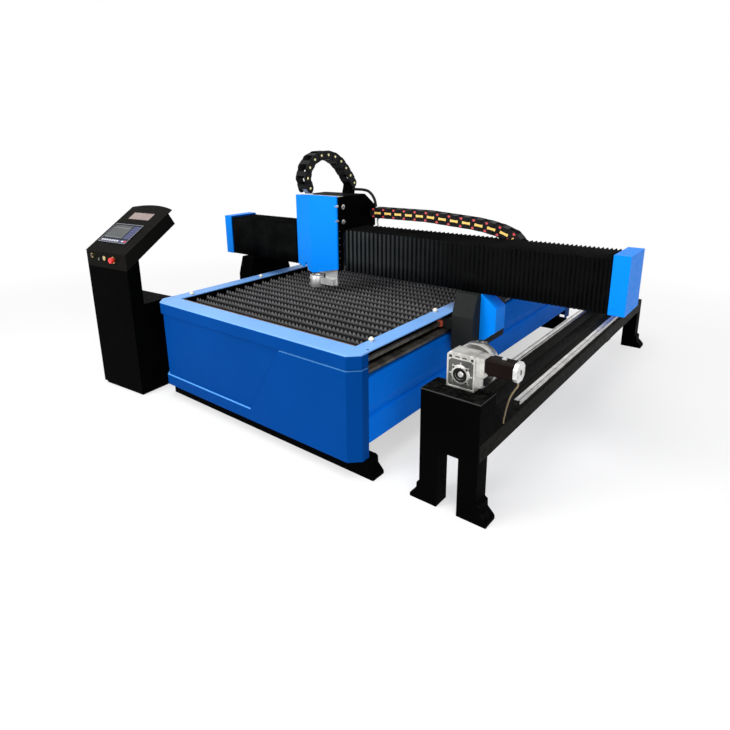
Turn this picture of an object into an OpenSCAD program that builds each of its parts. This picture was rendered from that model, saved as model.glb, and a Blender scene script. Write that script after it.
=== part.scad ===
/* [Bed] */
// Width of the bed over its side panels
bed_w = 1790; // [1500:10:2200]
// Length of the bed over its aprons
bed_len = 3300; // [3000:50:4200]
// Height of the bed to the top of its rim
bed_h = 720; // [690:5:800]
// Length of the cut across each front corner
corner_cut = 60; // [30:5:90]
// Width of the side rims
side_rim_w = 104; // [90:2:130]
// Width of the front and rear rims
end_rim_w = 138; // [110:2:170]
// Thickness of the rim plates
rim_t = 8; // [5:1:12]
// Thickness of the folded sheets
sheet_t = 4; // [2:0.5:6]
// Height of the fascia lip with the rim above it
fascia_h = 83; // [60:1:110]
// How far the proud lower front panel stands out
panel_step = 14; // [6:1:20]
// Height of the lower edge of the aprons
apron_z = 105; // [60:5:140]
// Height of the open rail recess under the side rims
recess_h = 140; // [130:2:180]
// Depth of the rail recess
recess_d = 60; // [50:2:80]
// Height of the lower edge of the side panels
side_panel_z = 192; // [150:2:240]

/* [Slats] */
// Distance from one slat to the next
slat_pitch = 90; // [60:5:140]
// Thickness of a slat
slat_t = 6; // [3:1:10]
// Height of a slat from its foot to its teeth
slat_h = 115; // [90:5:130]
// Drop from the rim's top to the slat teeth
slat_drop = 20; // [10:1:30]
// Distance from one slat tooth to the next
tooth_pitch = 31; // [26:1:60]
// Depth of the notches between the slat teeth
tooth_depth = 24; // [15:1:45]

/* [Feet] */
// Depth of a foot or skid, front to back
foot_d = 100; // [80:5:130]
// Distance from the front apron back to the front skid
foot_setback = 76; // [50:2:120]
// Height of the skids under the bed frame
skid_h = 150; // [115:5:200]
// How far the stepped foot flares out at the floor
foot_flare = 54; // [30:2:70]

/* [Gantry] */
// Distance from the front apron back to the gantry's front face
gantry_setback = 1000; // [900:10:1400]
// Clear height from the rim's top to the gantry beam's cover
gantry_clear = 139; // [120:1:180]
// Overhang of the gantry past the left side of the bed
left_overhang = 430; // [380:10:500]
// Overhang of the gantry past the right side, over the rotary axis
right_overhang = 978; // [940:2:1100]
// Depth of the gantry's end caps, front to back
cap_d = 278; // [260:2:300]
// Height of the gantry's end caps
cap_h = 319; // [300:1:350]
// Width of an end cap
cap_w = 83; // [60:1:110]
// Gap from the bed's side to the gantry's upright
upright_gap = 36; // [30:1:50]
// Width of an upright
upright_w = 144; // [130:2:170]
// How far the drive cover stands out from the right upright
cover_w = 103; // [90:1:130]
// Depth of the drive cover, front to back
cover_d = 130; // [110:2:150]
// Distance from one bellows fold to the next
pleat_pitch = 30; // [24:1:60]
// Depth of the bellows folds
pleat_depth = 14; // [10:1:24]

/* [Carriage] */
// Place of the torch carriage along the gantry, from the bed's middle
carriage_x = -190; // [-400:10:200]
// Half of the carriage's width
carriage_half = 195; // [180:1:230]
// Angle at which each half of the carriage cover falls back
cover_angle = 15; // [8:1:18]
// Bore of the torch clamp
torch_bore = 50; // [35:1:56]
// Outer diameter of the torch clamp
clamp_d = 104; // [90:1:106]

/* [Drag chains] */
// Distance from pin to pin in the long drag chain
x_link = 90; // [80:1:95]
// Width of the long drag chain
x_chain_w = 80; // [60:2:84]
// Distance from pin to pin in the lifter's drag chain
z_link = 75; // [70:1:80]
// Width of the lifter's drag chain
z_chain_w = 90; // [70:2:100]

/* [Rotary axis] */
// Distance from the bed's side to the middle of the rotary axis
rotary_out = 483; // [470:1:520]
// Width of the rotary frame
rotary_w = 312; // [300:2:340]
// Distance from the front apron back to the near stand
rotary_setback = 97; // [60:1:140]
// Distance from the front of the near stand to the back of the far stand
rotary_len = 3053; // [2600:1:3200]
// Height of the near stand
stand_h = 620; // [600:5:680]
// Width of a stand's leg
leg_w = 101; // [80:1:115]
// Height of the opening between a stand's legs
leg_open = 313; // [250:1:314]
// Height of the lower face of the rotary beams
rotary_beam_z = 315; // [315:1:340]
// Width of a rotary beam
rotary_beam_w = 120; // [100:1:130]
// Height of a rotary beam
rotary_beam_h = 95; // [80:1:105]
// Height of the chuck's axis above the near stand
axis_rise = 72; // [66:1:100]
// Diameter of the chuck
chuck_d = 220; // [200:5:260]
// Diameter of the hole through the chuck
chuck_bore = 80; // [60:1:84]

/* [Console] */
// Gap from the bed's left side to the console's front corner
console_gap = 117; // [110:1:260]
// Distance of the console's front in front of the apron
console_fore = 115; // [100:5:300]
// Turn of the console towards the operator, in degrees
console_turn = 5.5; // [0:0.5:12]
// Width of the console
console_w = 464; // [420:2:520]
// Depth of the console's upper post
post_d = 104; // [80:2:140]
// Depth of the console's lower cabinet
cabinet_d = 350; // [280:5:380]
// Height of the console's lower cabinet
cabinet_h = 675; // [560:5:760]
// Height of the console's front up to the slanted panel
console_h = 1043; // [960:1:1120]
// Reach of the slanted head from the front, level along the floor
head_reach = 430; // [400:2:450]
// Slope of the console's slanted panel, in degrees
head_slope = 31.7; // [25:0.1:35]
// Thickness of the slanted head
head_t = 94; // [80:1:100]

/* [Hidden] */
$fn = 48;

// Colours
paint_blue = [0.0, 0.38, 0.85];
rim_blue = [0.35, 0.62, 0.95];
satin_black = [0.08, 0.08, 0.09];
bright_steel = [0.72, 0.73, 0.74];
dull_steel = [0.45, 0.43, 0.40];
cast_silver = [0.80, 0.81, 0.82];
knob_cream = [0.86, 0.83, 0.76];
chain_black = [0.12, 0.12, 0.12];
panel_grey = [0.35, 0.36, 0.38];
key_lilac = [0.55, 0.58, 0.85];
stop_red = [0.80, 0.05, 0.05];
brass_gold = [0.80, 0.62, 0.25];

// Clearance between pieces that slide past each other, and around turning shafts
slide_gap = 0.3;
shaft_gap = 0.05;

// Bed outline and heights
half_w = bed_w / 2;
front_y = -foot_setback - foot_d / 2;
rear_y = front_y + bed_len;
rear_skid = rear_y - foot_setback - foot_d / 2;
skid_ys = [0, rear_skid / 2, rear_skid];
rim_under = bed_h - rim_t;
panel_top = rim_under - recess_h;
apron_flange = corner_cut + 55;

// Bed frame tubes
wall_x = half_w - recess_d;
beam_in = wall_x - 45;
beam_z = panel_top - 12;
post_half = 40;

// Slats and what they rest on
slat_half = min(beam_in, half_w - side_rim_w) - 10;
slat_top = bed_h - slat_drop;
slat_foot = slat_top - slat_h;
comb_z = slat_foot - 45;
comb_top = slat_foot + 40;
cross_z = comb_z - 80;
first_slat = front_y + end_rim_w + 35;
slat_count = floor((bed_len - 2 * end_rim_w - 70) / slat_pitch) + 1;
slat_ys = [for (i = [0 : slat_count - 1]) first_slat + i * slat_pitch];

// Gears and racks
gear_module = 3;
pinion_teeth = 18;
pinion_r = gear_module * pinion_teeth / 2;
gear_pitch = PI * gear_module;
pressure_angle = 20;
mesh_gap = 0.2;
flank_play = 0.25;

// Gantry
gantry_front = front_y + gantry_setback;
gantry_mid = gantry_front + cap_d / 2;
gantry_z = bed_h + gantry_clear;
gantry_top = gantry_z + cap_h;
gantry_l = -half_w - left_overhang;
gantry_r = half_w + right_overhang;
cover_sheet = 3;
bellows_drop = 12;
beam_y = [gantry_front + 61, gantry_front + cap_d - 27];
beam_zs = [gantry_z + 26, gantry_top - 58];
upright_in = half_w + upright_gap;
upright_out = upright_in + upright_w;
upright_wall = 8;
upright_z = bed_h - 220;
truck_ys = [[gantry_mid - 213, gantry_mid - 133], [gantry_mid + 133, gantry_mid + 213]];

// Long guides along the bed, and their drive
rail_z = rim_under - 62;
y_pitch_z = rim_under - 107;
y_drive_y = gantry_front + cover_d / 2;
y_drive_z = y_pitch_z + pinion_r + mesh_gap;
y_rack_in = wall_x + 20;

// Cross guides along the gantry, and their drive
x_rail_zs = [beam_zs[0] + 40, beam_zs[1] - 40];
x_pitch_y = gantry_front + 188;
x_drive_y = x_pitch_y + pinion_r + mesh_gap;
x_rack_z = [beam_zs[1], beam_zs[1] + 22];

// Torch carriage
carriage_l = carriage_x - carriage_half;
carriage_r = carriage_x + carriage_half;
housing_wall = 4;
cover_t = 4;
housing_back = gantry_front + 375;
housing_brow = housing_back - 124;
housing_drop = 90;
plate_y = [beam_y[0] - 50, beam_y[0] - 30];
plate_z = [gantry_z + 36, gantry_top + 7];
plate_t = 20;
ridge_y = gantry_front - 120;
ridge_x = [carriage_x - 15, carriage_x];
shoulder_y = ridge_y + carriage_half * tan(cover_angle) + 1;
housing_top = gantry_top + 217;
lifter_xs = [carriage_x - 110, carriage_x + 110];
screw_y = plate_y[0] - 17.5;
screw_r = 8;
motor_shelf_z = gantry_top - 6;
slide_y = [plate_y[0] - 47, plate_y[0] - 35];
torch_x = carriage_x - 35;
torch_y = slide_y[0] - 10;
clamp_z = [bed_h + 7, bed_h + 94];
z_chain_x = carriage_x - 50;

// Thickness of a chain link's side plates, and their end radius as a share of the pitch
link_skin = 4;
link_round = 0.42;

// Turns of the long drag chain, link by link, as headings above level
x_start = [carriage_r + 40, gantry_top + 75];
x_headings = [
    0, 0, 0, 0, 0, -4, -4, -4, -4, -8, -12, -20,
    -45, -90, -135, -180, -180, -180, -180, -180, -180, -180, -180
];
x_chain_y = gantry_front + 340;

// Turns of the lifter's drag chain, link by link, as headings above level
z_start = [gantry_front - 115.5, gantry_top + 273.5];
z_headings = [108, 70, 45, 20, 2, -12, -28, -42, -48, -52];

// Rotary axis
rotary_x = half_w + rotary_out;
near_y = front_y + rotary_setback;
far_y = near_y + rotary_len;
front_plate = 12;
stand_box_d = 158;
rotary_half = rotary_w / 2;
rotary_deck = rotary_beam_z + rotary_beam_h;
axis_z = stand_h + axis_rise;
gearbox_y = [near_y + 100, near_y + 190];
gearbox_half = 73;
gearbox_flange = 42;
gearbox_h = 178;
chuck_y = [near_y + 238, near_y + 298];
chuck_r = chuck_d / 2;
motor_y = (gearbox_y[0] + gearbox_y[1]) / 2;
motor_z = axis_z + 65;
motor_cap_x = rotary_x + 250;
motor_end_x = motor_cap_x + 20;
motor_cap_half = 45;
rotary_rail_out = rotary_half - 34;
rotary_rail_h = 28;
spindle_r = 35;
pipe_r = 24;

// Jaws of the chuck
jaw_w = 30;
jaw_in = chuck_bore / 2 + 20;
jaw_out = chuck_r - 13;
jaw_slot_w = 34;
jaw_slot_y = chuck_y[1] - 22;
jaw_lip_y = chuck_y[1] - 11;

// Work support on the rotary rails
support_y = far_y - 574;
support_len = 320;
roller_r = 35;
roller_x = 45;
roller_z = axis_z - 84;
roller_pin = 10;
roller_ys = [support_y + 96, support_y + 224];

// Console
console_x = -half_w - console_gap;
console_y = front_y - console_fore;
console_sheet = 3;
head_body = head_reach - 35;
head_tan = tan(head_slope);
head_len = head_reach / cos(head_slope);
under_z = console_h - head_t / cos(head_slope);
arc_rise = 35;
control_z = [console_h - 30, console_h - 38, console_h - 42];
control_x = [-386, -241, -135];
screen_x = [-428, -105];
screen_y = [98, 302];

// Routes of the two flexible leads
cable_points = [
    [motor_cap_x + 10, motor_y, motor_z - motor_cap_half - 0.2],
    [motor_cap_x + 10, motor_y, motor_z - motor_cap_half - 24],
    [motor_cap_x - 6, motor_y + 9, motor_z - 95],
    [motor_cap_x - 31, motor_y + 31, motor_z - 140],
    [motor_cap_x - 53, motor_y + 58, motor_z - 189],
    [rotary_x + rotary_half + 19, motor_y + 91, rotary_deck + 102],
    [rotary_x + rotary_half + 3, motor_y + 117, rotary_deck + 53],
    [rotary_x + rotary_half - 5.5, motor_y + 130, rotary_deck + 30],
    [rotary_x + rotary_half - 8, motor_y + 134, rotary_deck + 15],
    [rotary_x + rotary_half - 8, motor_y + 134, rotary_deck + 0.2]
];
hose_points = [
    [z_chain_x + bracket_half(z_chain_w) + 0.2, housing_back - 7, housing_top + 17],
    [z_chain_x + bracket_half(z_chain_w) + 36, housing_back - 7, housing_top + 17],
    [carriage_r - 110, housing_back - 6, housing_top + 16],
    [carriage_r - 65, housing_back - 6, housing_top + 8],
    [carriage_r - 25, housing_back - 12, housing_top - 14],
    [carriage_r + 10, x_chain_y + 12, gantry_top + 167],
    [carriage_r + 27, x_chain_y + 3, gantry_top + 132],
    [carriage_r + 31, x_chain_y, gantry_top + 115]
];

// Shapes shared by several pieces

// Block between two opposite corners, each axis given as a range
module block(x, y, z) {
    translate([x[0], y[0], z[0]])
        cube([x[1] - x[0], y[1] - y[0], z[1] - z[0]]);
}

// Square tube, open at both ends along one axis
module tube(x, y, z, along, wall) {
    grow = [for (k = [0 : 2]) k == along ? 1 : -wall];
    difference() {
        block(x, y, z);
        block(
            [x[0] - grow[0], x[1] + grow[0]],
            [y[0] - grow[1], y[1] + grow[1]],
            [z[0] - grow[2], z[1] + grow[2]]
        );
    }
}

// Outline given in X and Z, drawn out along Y
module along_y(y, outline) {
    translate([0, y[1], 0])
        rotate([90, 0, 0])
            linear_extrude(y[1] - y[0])
                polygon(outline);
}

// Outline given in Y and Z, drawn out along X
module along_x(x, outline) {
    translate([x[0], 0, 0])
        rotate([90, 0, 90])
            linear_extrude(x[1] - x[0])
                polygon(outline);
}

// Round bar along Y, standing on a point of the X and Z plane
module bar_y(x, z, y, r) {
    translate([x, y[0], z])
        rotate([-90, 0, 0])
            cylinder(r = r, h = y[1] - y[0]);
}

// Round bar along X, standing on a point of the Y and Z plane
module bar_x(y, z, x, r) {
    translate([x[0], y, z])
        rotate([0, 90, 0])
            cylinder(r = r, h = x[1] - x[0]);
}

module both_sides() {
    for (side = [0, 1])
        mirror([side, 0, 0])
            children();
}

// The same list from its last entry to its first
function backwards(list) = [for (i = [len(list) - 1 : -1 : 0]) list[i]];

// Stepped foot that flares out past a leg's outer face
function foot_outline(x) = [
    [x, 0], [x + foot_flare, 0], [x + foot_flare, 18], [x + foot_flare - 10, 32],
    [x + 17, 58], [x + 15, 96], [x, 107]
];

// Guide rail, narrow in the waist, standing off a face
function rail_outline(base, centre, height, width) = [
    [base, centre - width / 2], [base + height * 0.4, centre - width / 2],
    [base + height * 0.5, centre - width * 0.36], [base + height * 0.7, centre - width * 0.36],
    [base + height * 0.8, centre - width / 2], [base + height, centre - width / 2],
    [base + height, centre + width / 2], [base + height * 0.8, centre + width / 2],
    [base + height * 0.7, centre + width * 0.36], [base + height * 0.5, centre + width * 0.36],
    [base + height * 0.4, centre + width / 2], [base, centre + width / 2]
];

// Angle by which an involute has curled away at a given radius
function curl(r, base_r) = let (a = acos(min(1, base_r / r))) tan(a) * 180 / PI - a;

// Half of a pinion tooth's angle at a given radius
function tooth_half(r) =
    let (base_r = pinion_r * cos(pressure_angle))
    let (at_pitch = 90 / pinion_teeth - flank_play / pinion_r * 180 / PI)
    at_pitch + curl(pinion_r, base_r) - curl(max(r, base_r), base_r);

// Outline of a pinion with involute teeth, a gap between teeth facing straight down
pinion_root = pinion_r - 1.25 * gear_module;
pinion_tip = pinion_r + gear_module;
flank_radii = [for (i = [0 : 4]) pinion_root + i * (pinion_tip - pinion_root) / 4];
pinion_outline = [
    for (i = [0 : pinion_teeth - 1], side = [-1, 1], k = [0 : 4])
        let (r = flank_radii[side < 0 ? k : 4 - k])
        let (a = i * 360 / pinion_teeth + side * tooth_half(r))
        [r * cos(a), r * sin(a)]
];

// Outline of a rack: first the run, then the height, with one tooth at the middle
function rack_outline(from, to, middle, pitch_h, back_h) =
    let (first = ceil((from - middle) / gear_pitch) + 1)
    let (last = floor((to - middle) / gear_pitch) - 1)
    let (tip = gear_pitch / 4 - flank_play - gear_module * tan(pressure_angle))
    let (root = gear_pitch / 4 - flank_play + 1.25 * gear_module * tan(pressure_angle))
    concat(
        [[to, pitch_h - 1.25 * gear_module], [to, back_h], [from, back_h],
         [from, pitch_h - 1.25 * gear_module]],
        [for (i = [first : last], k = [0 : 3])
            let (c = middle + i * gear_pitch)
            [c + [-root, -tip, tip, root][k],
             k == 0 || k == 3 ? pitch_h - 1.25 * gear_module : pitch_h + gear_module]]
    );

// Half of the width of a bracket that sits between a chain's side plates
function bracket_half(chain_w) = chain_w / 2 - 2 * link_skin - 2 * slide_gap;

// One drag chain link from its own pin at the origin towards the next pin along X
module chain_link(pitch, width) {
    skin = link_skin;
    r = link_round * pitch;
    joggle = pitch - r - 3;
    inner = width / 2 - 2 * skin - slide_gap;
    for (side = [0, 1])
        mirror([0, side, 0]) {
            translate([0, width / 2, 0])
                rotate([90, 0, 0])
                    linear_extrude(skin) {
                        circle(r);
                        translate([0, -r])
                            square([joggle, 2 * r]);
                    }
            translate([0, inner + skin, 0])
                rotate([90, 0, 0])
                    linear_extrude(skin)
                        difference() {
                            union() {
                                translate([pitch, 0])
                                    circle(r);
                                translate([joggle - 6, -r])
                                    square([pitch - joggle + 6, 2 * r]);
                            }
                            translate([pitch, 0])
                                circle(6 + shaft_gap);
                        }
            block([joggle - 6, joggle], [inner, width / 2], [-r, r]);
            translate([0, width / 2 + 1.5, 0])
                rotate([90, 0, 0])
                    cylinder(r = 6, h = width / 2 + 1.5 - inner);
        }
    for (z = [-r, r - 5])
        block([joggle - 12, joggle], [-inner, inner], [z, z + 5]);
}

// Place of a chain's pin after a number of links
function pin_after(start, headings, pitch, count) =
    count == 0 ? start
    : pin_after(start, headings, pitch, count - 1)
      + pitch * [cos(headings[count - 1]), sin(headings[count - 1])];

// Round lead drawn through a list of points
module lead(points, r) {
    sides = 10;
    last = len(points) - 1;
    function run(i) = points[min(i + 1, last)] - points[max(i - 1, 0)];
    rings = [for (i = [0 : last])
        let (d = run(i) / norm(run(i)))
        let (u = cross(d, [1, 0.2, 0.1]) / norm(cross(d, [1, 0.2, 0.1])))
        let (v = cross(d, u))
        for (k = [0 : sides - 1])
            points[i] + r * (cos(k * 360 / sides) * u + sin(k * 360 / sides) * v)];
    walls = [for (i = [0 : last - 1], k = [0 : sides - 1], half = [0, 1])
        let (n = (k + 1) % sides)
        let (near = i * sides)
        let (far = near + sides)
        half == 0 ? [near + k, near + n, far + n] : [near + k, far + n, far + k]];
    start_cap = [for (k = [sides - 1 : -1 : 0]) k];
    end_cap = [for (k = [0 : sides - 1]) last * sides + k];
    polyhedron(rings, [for (f = concat([start_cap, end_cap], walls)) backwards(f)]);
}

// The bed

module bed_frame() {
    color(satin_black) {
        both_sides() {
            tube([beam_in, wall_x], [front_y + 40, rear_y - 40], [beam_z, rim_under], 1, 6);
            for (y = skid_ys)
                tube([beam_in, wall_x], [y - post_half, y + post_half], [skid_h, beam_z], 2, 5);
        }
        for (y = skid_ys)
            tube([-beam_in, beam_in], [y - post_half, y + post_half], [cross_z, comb_z], 0, 5);
        for (y = [front_y + 60, rear_y - end_rim_w - 12])
            tube([-beam_in, beam_in], [y, y + end_rim_w - 48], [comb_top + 5, rim_under], 0, 5);
    }
}

module base_skids() {
    color(satin_black)
        for (y = skid_ys) {
            along = [y - foot_d / 2, y + foot_d / 2];
            block([-wall_x, wall_x], along, [0, skid_h]);
            block([-half_w + 12, half_w], along, [0, min(skid_h, apron_z)]);
            along_y(along, foot_outline(half_w));
        }
}

// Line of the front apron seen from above, set in from the outer faces
function apron_line(inset) =
    let (turn = corner_cut + inset * (sqrt(2) - 1))
    let (side = half_w - inset)
    [
        [-side, front_y + apron_flange], [-side, front_y + turn],
        [-half_w + turn, front_y + inset], [half_w - turn, front_y + inset],
        [side, front_y + turn], [side, front_y + apron_flange]
    ];

module apron_layer(inset, thickness, z) {
    translate([0, 0, z[0]])
        linear_extrude(z[1] - z[0])
            polygon(concat(apron_line(inset), backwards(apron_line(inset + thickness))));
}

module front_apron() {
    step_z = bed_h - fascia_h - 7;
    proud = [
        [half_w + 1, apron_z], [-half_w - 1, apron_z], [-half_w - 1, apron_z + 75],
        [half_w * 0.065, apron_z + 75], [half_w * 0.38, step_z], [half_w + 1, step_z]
    ];
    color(paint_blue) {
        apron_layer(panel_step, sheet_t, [apron_z, rim_under]);
        apron_layer(0, panel_step, [bed_h - fascia_h, rim_under]);
        intersection() {
            apron_layer(0, panel_step, [apron_z, step_z]);
            along_y([front_y - 1, front_y + apron_flange + 1], proud);
        }
    }
}

module rear_apron() {
    color(paint_blue)
        difference() {
            block([-half_w, half_w], [rear_y - apron_flange, rear_y], [apron_z, rim_under]);
            block(
                [-half_w + sheet_t, half_w - sheet_t],
                [rear_y - apron_flange - 1, rear_y - sheet_t],
                [apron_z - 1, rim_under + 1]
            );
        }
}

// Line of a side panel from its top edge down, set in from the outer face
function side_line(inset) = [
    [half_w - inset, panel_top], [half_w - inset, panel_top - 162],
    [half_w - 15 - inset, panel_top - 222], [half_w - inset, panel_top - 231],
    [half_w - inset, side_panel_z]
];

module side_panels() {
    run = [front_y + apron_flange, rear_y - apron_flange];
    color(paint_blue)
        both_sides() {
            along_y(run, concat(side_line(0), backwards(side_line(sheet_t))));
            block([wall_x, half_w], run, [panel_top - sheet_t, panel_top]);
        }
}

module top_rim() {
    seam = 1;
    inner_x = half_w - side_rim_w;
    color(rim_blue)
        translate([0, 0, rim_under])
            linear_extrude(rim_t) {
                polygon([
                    [-half_w + corner_cut, front_y], [half_w - corner_cut, front_y],
                    [half_w, front_y + corner_cut], [half_w, front_y + end_rim_w],
                    [-half_w, front_y + end_rim_w], [-half_w, front_y + corner_cut]
                ]);
                translate([-half_w, rear_y - end_rim_w])
                    square([bed_w, end_rim_w]);
                both_sides()
                    translate([inner_x, front_y + end_rim_w + seam])
                        square([side_rim_w, bed_len - 2 * end_rim_w - 2 * seam]);
            }
}

module slat_supports() {
    run = [-post_half, rear_skid + post_half];
    slot = slat_t / 2 + slide_gap;
    comb = concat(
        [[run[0], comb_top], [run[0], comb_z], [run[1], comb_z], [run[1], comb_top]],
        [for (y = backwards(slat_ys), k = [0 : 3])
            [y + (k < 2 ? slot : -slot), k == 1 || k == 2 ? slat_foot : comb_top]]
    );
    color(dull_steel) {
        both_sides()
            along_x([slat_half - 25, slat_half - 15], comb);
        block([-5, 5], run, [comb_z, slat_foot]);
    }
}

module slats() {
    teeth = floor(2 * slat_half / tooth_pitch);
    step = 2 * slat_half / teeth;
    edge = [for (i = [teeth : -1 : 0], k = [0, 1])
        if (k == 0 || i > 0)
            [-slat_half + (i - k / 2) * step, k == 0 ? slat_top - tooth_depth : slat_top]];
    outline = concat([[-slat_half, slat_foot], [slat_half, slat_foot]], edge);
    color(dull_steel)
        for (y = slat_ys)
            along_y([y - slat_t / 2, y + slat_t / 2], outline);
}

module slag_tray() {
    wall = 3;
    x = slat_half - 30;
    y = [first_slat - 15, rear_y - end_rim_w - 20];
    z = [cross_z - 75, cross_z];
    color(dull_steel) {
        difference() {
            block([-x, x], y, z);
            block([-x + wall, x - wall], [y[0] + wall, y[1] - wall], [z[0] + wall, z[1] + 1]);
        }
        both_sides()
            block([x, x + 15], y, [z[1] - wall, z[1]]);
    }
}

module y_guides() {
    run = [front_y + 130, rear_y - 130];
    color(bright_steel) {
        both_sides()
            along_y(run, rail_outline(wall_x, rail_z, 20, 20));
        block([wall_x, y_rack_in], run, [y_pitch_z - 17, y_pitch_z + 5]);
        along_x(
            [y_rack_in, y_rack_in + 25],
            rack_outline(run[0], run[1], y_drive_y, y_pitch_z, y_pitch_z - 17)
        );
    }
}

module rim_knobs() {
    profile = [[0, 0], [11, 0], [11, 7], [16, 9], [17, 12], [12, 18], [7, 24], [0, 26]];
    color(knob_cream)
        both_sides()
            for (y = [front_y + 250, gantry_front - 84])
                translate([half_w - side_rim_w + 21, y, bed_h])
                    rotate_extrude()
                        polygon(profile);
}

// The rotary axis

module stand_legs(y, top) {
    for (side = [0, 1])
        translate([rotary_x, 0, 0])
            mirror([side, 0, 0]) {
                block([rotary_half - leg_w, rotary_half], y, [0, 10]);
                tube([rotary_half - leg_w, rotary_half], y, [10, top], 2, 6);
                along_y(y, foot_outline(rotary_half));
            }
}

module rotary_stands() {
    skin = [near_y, near_y + front_plate];
    behind = [near_y + front_plate, near_y + foot_d];
    box_y = [near_y + front_plate, near_y + stand_box_d];
    front_outline = [
        [-rotary_half, 0], [-rotary_half + leg_w, 0], [-rotary_half + leg_w, leg_open],
        [rotary_half - leg_w, leg_open], [rotary_half - leg_w, 0], [rotary_half, 0],
        [rotary_half, stand_h], [-rotary_half, stand_h]
    ];
    color(satin_black) {
        translate([rotary_x, 0, 0])
            along_y(skin, front_outline);
        stand_legs(behind, rotary_beam_z);
        for (side = [0, 1])
            translate([rotary_x, 0, 0])
                mirror([side, 0, 0])
                    along_y(skin, foot_outline(rotary_half));
        stand_legs([far_y - foot_d, far_y], rotary_beam_z);
        translate([rotary_x, 0, 0]) {
            difference() {
                block([-rotary_half, rotary_half], box_y, [rotary_deck, stand_h]);
                block(
                    [-rotary_half + 6, rotary_half - 6], box_y + [6, -6],
                    [rotary_deck + 6, stand_h - 12]
                );
                bar_y(0, rotary_deck + 30, [box_y[1] - 7, box_y[1] + 1], 8);
            }
        }
    }
}

module rotary_beams() {
    run = [near_y + front_plate, far_y];
    color(satin_black)
        for (side = [0, 1])
            translate([rotary_x, 0, 0])
                mirror([side, 0, 0]) {
                    inner = rotary_half - rotary_beam_w;
                    tube([inner, rotary_half], run, [rotary_beam_z, rotary_deck], 1, 5);
                    block([inner, rotary_half], [far_y - 6, far_y], [rotary_beam_z, rotary_deck]);
                    block(
                        [inner, inner + 14], [near_y + stand_box_d, far_y],
                        [rotary_deck, rotary_deck + 4]
                    );
                }
}

module rotary_rails() {
    run = [near_y + 503, far_y - 24];
    color(bright_steel)
        for (side = [-1, 1])
            translate([rotary_x + side * rotary_rail_out, run[1], rotary_deck])
                rotate([90, 0, 0])
                    rotate([0, 0, 90])
                        linear_extrude(run[1] - run[0])
                            polygon(rail_outline(0, 0, rotary_rail_h, 34));
}

module gearbox_housing() {
    top = stand_h + gearbox_h;
    bevel = 14;
    border = 4;
    outline = [
        [-gearbox_half, stand_h], [gearbox_half, stand_h], [gearbox_half, top - bevel],
        [gearbox_half - bevel, top], [-gearbox_half + bevel, top], [-gearbox_half, top - bevel]
    ];
    color(cast_silver)
        difference() {
            union() {
                translate([rotary_x, 0, 0]) {
                    along_y([gearbox_y[0] - border, gearbox_y[1]], outline);
                    block(
                        [gearbox_half - 2, gearbox_half + gearbox_flange], gearbox_y + [2, -2],
                        [axis_z + 8, top - 4]
                    );
                }
                bar_y(rotary_x, axis_z, [gearbox_y[0] - 8, gearbox_y[0] + 2], pipe_r + 7);
            }
            difference() {
                translate([rotary_x, 0, 0])
                    block(
                        [-gearbox_half + 9, gearbox_half - 9], [gearbox_y[0] - border - 1, gearbox_y[0]],
                        [stand_h + 9, top - bevel]
                    );
                bar_y(rotary_x, axis_z, [gearbox_y[0] - border - 2, gearbox_y[0] + 1], pipe_r + 7);
            }
            bar_y(rotary_x, axis_z, [gearbox_y[0] - 9, gearbox_y[1]], pipe_r);
            bar_y(rotary_x, axis_z, [gearbox_y[0] + 50, gearbox_y[1] + 1], spindle_r + shaft_gap);
        }
}

// Square section with cut corners
function cut_square(half, cut) = [
    [-half + cut, -half], [half - cut, -half], [half, -half + cut], [half, half - cut],
    [half - cut, half], [-half + cut, half], [-half, half - cut], [-half, -half + cut]
];

module rotary_motor() {
    color(satin_black)
        translate([0, motor_y, motor_z]) {
            along_x([rotary_x + gearbox_half + gearbox_flange, rotary_x + 127], cut_square(36, 10));
            along_x([rotary_x + 127, motor_cap_x], cut_square(40, 8));
        }
}

module motor_caps() {
    color(cast_silver)
        translate([0, motor_y, motor_z])
            along_x([motor_cap_x, motor_end_x], cut_square(motor_cap_half, 22));
}

module motor_cable() {
    color(chain_black)
        lead(cable_points, 5);
}

module spindle() {
    color(bright_steel)
        difference() {
            union() {
                bar_y(rotary_x, axis_z, [gearbox_y[0] + 50 + slide_gap, chuck_y[0] - 20], spindle_r);
                bar_y(rotary_x, axis_z, [chuck_y[0] - 20, chuck_y[0]], 70);
            }
            bar_y(rotary_x, axis_z, [gearbox_y[0], chuck_y[0] + 1], pipe_r);
        }
}

// Turns a piece drawn pointing up from the chuck's axis to one of the three jaw places
module at_jaw(turn) {
    translate([rotary_x, 0, axis_z])
        rotate([0, turn, 0])
            children();
}

module chuck_body() {
    color(bright_steel)
        difference() {
            bar_y(rotary_x, axis_z, chuck_y, chuck_r);
            bar_y(rotary_x, axis_z, [chuck_y[0] - 1, chuck_y[1] + 1], chuck_bore / 2);
            for (turn = [0, 120, 240])
                at_jaw(turn) {
                    block([-jaw_slot_w / 2, jaw_slot_w / 2], [jaw_slot_y, jaw_lip_y], [0, chuck_r + 1]);
                    block(
                        [-jaw_slot_w / 2 + 7, jaw_slot_w / 2 - 7],
                        [jaw_lip_y - 1, chuck_y[1] + 1], [0, chuck_r + 1]
                    );
                }
        }
}

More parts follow.
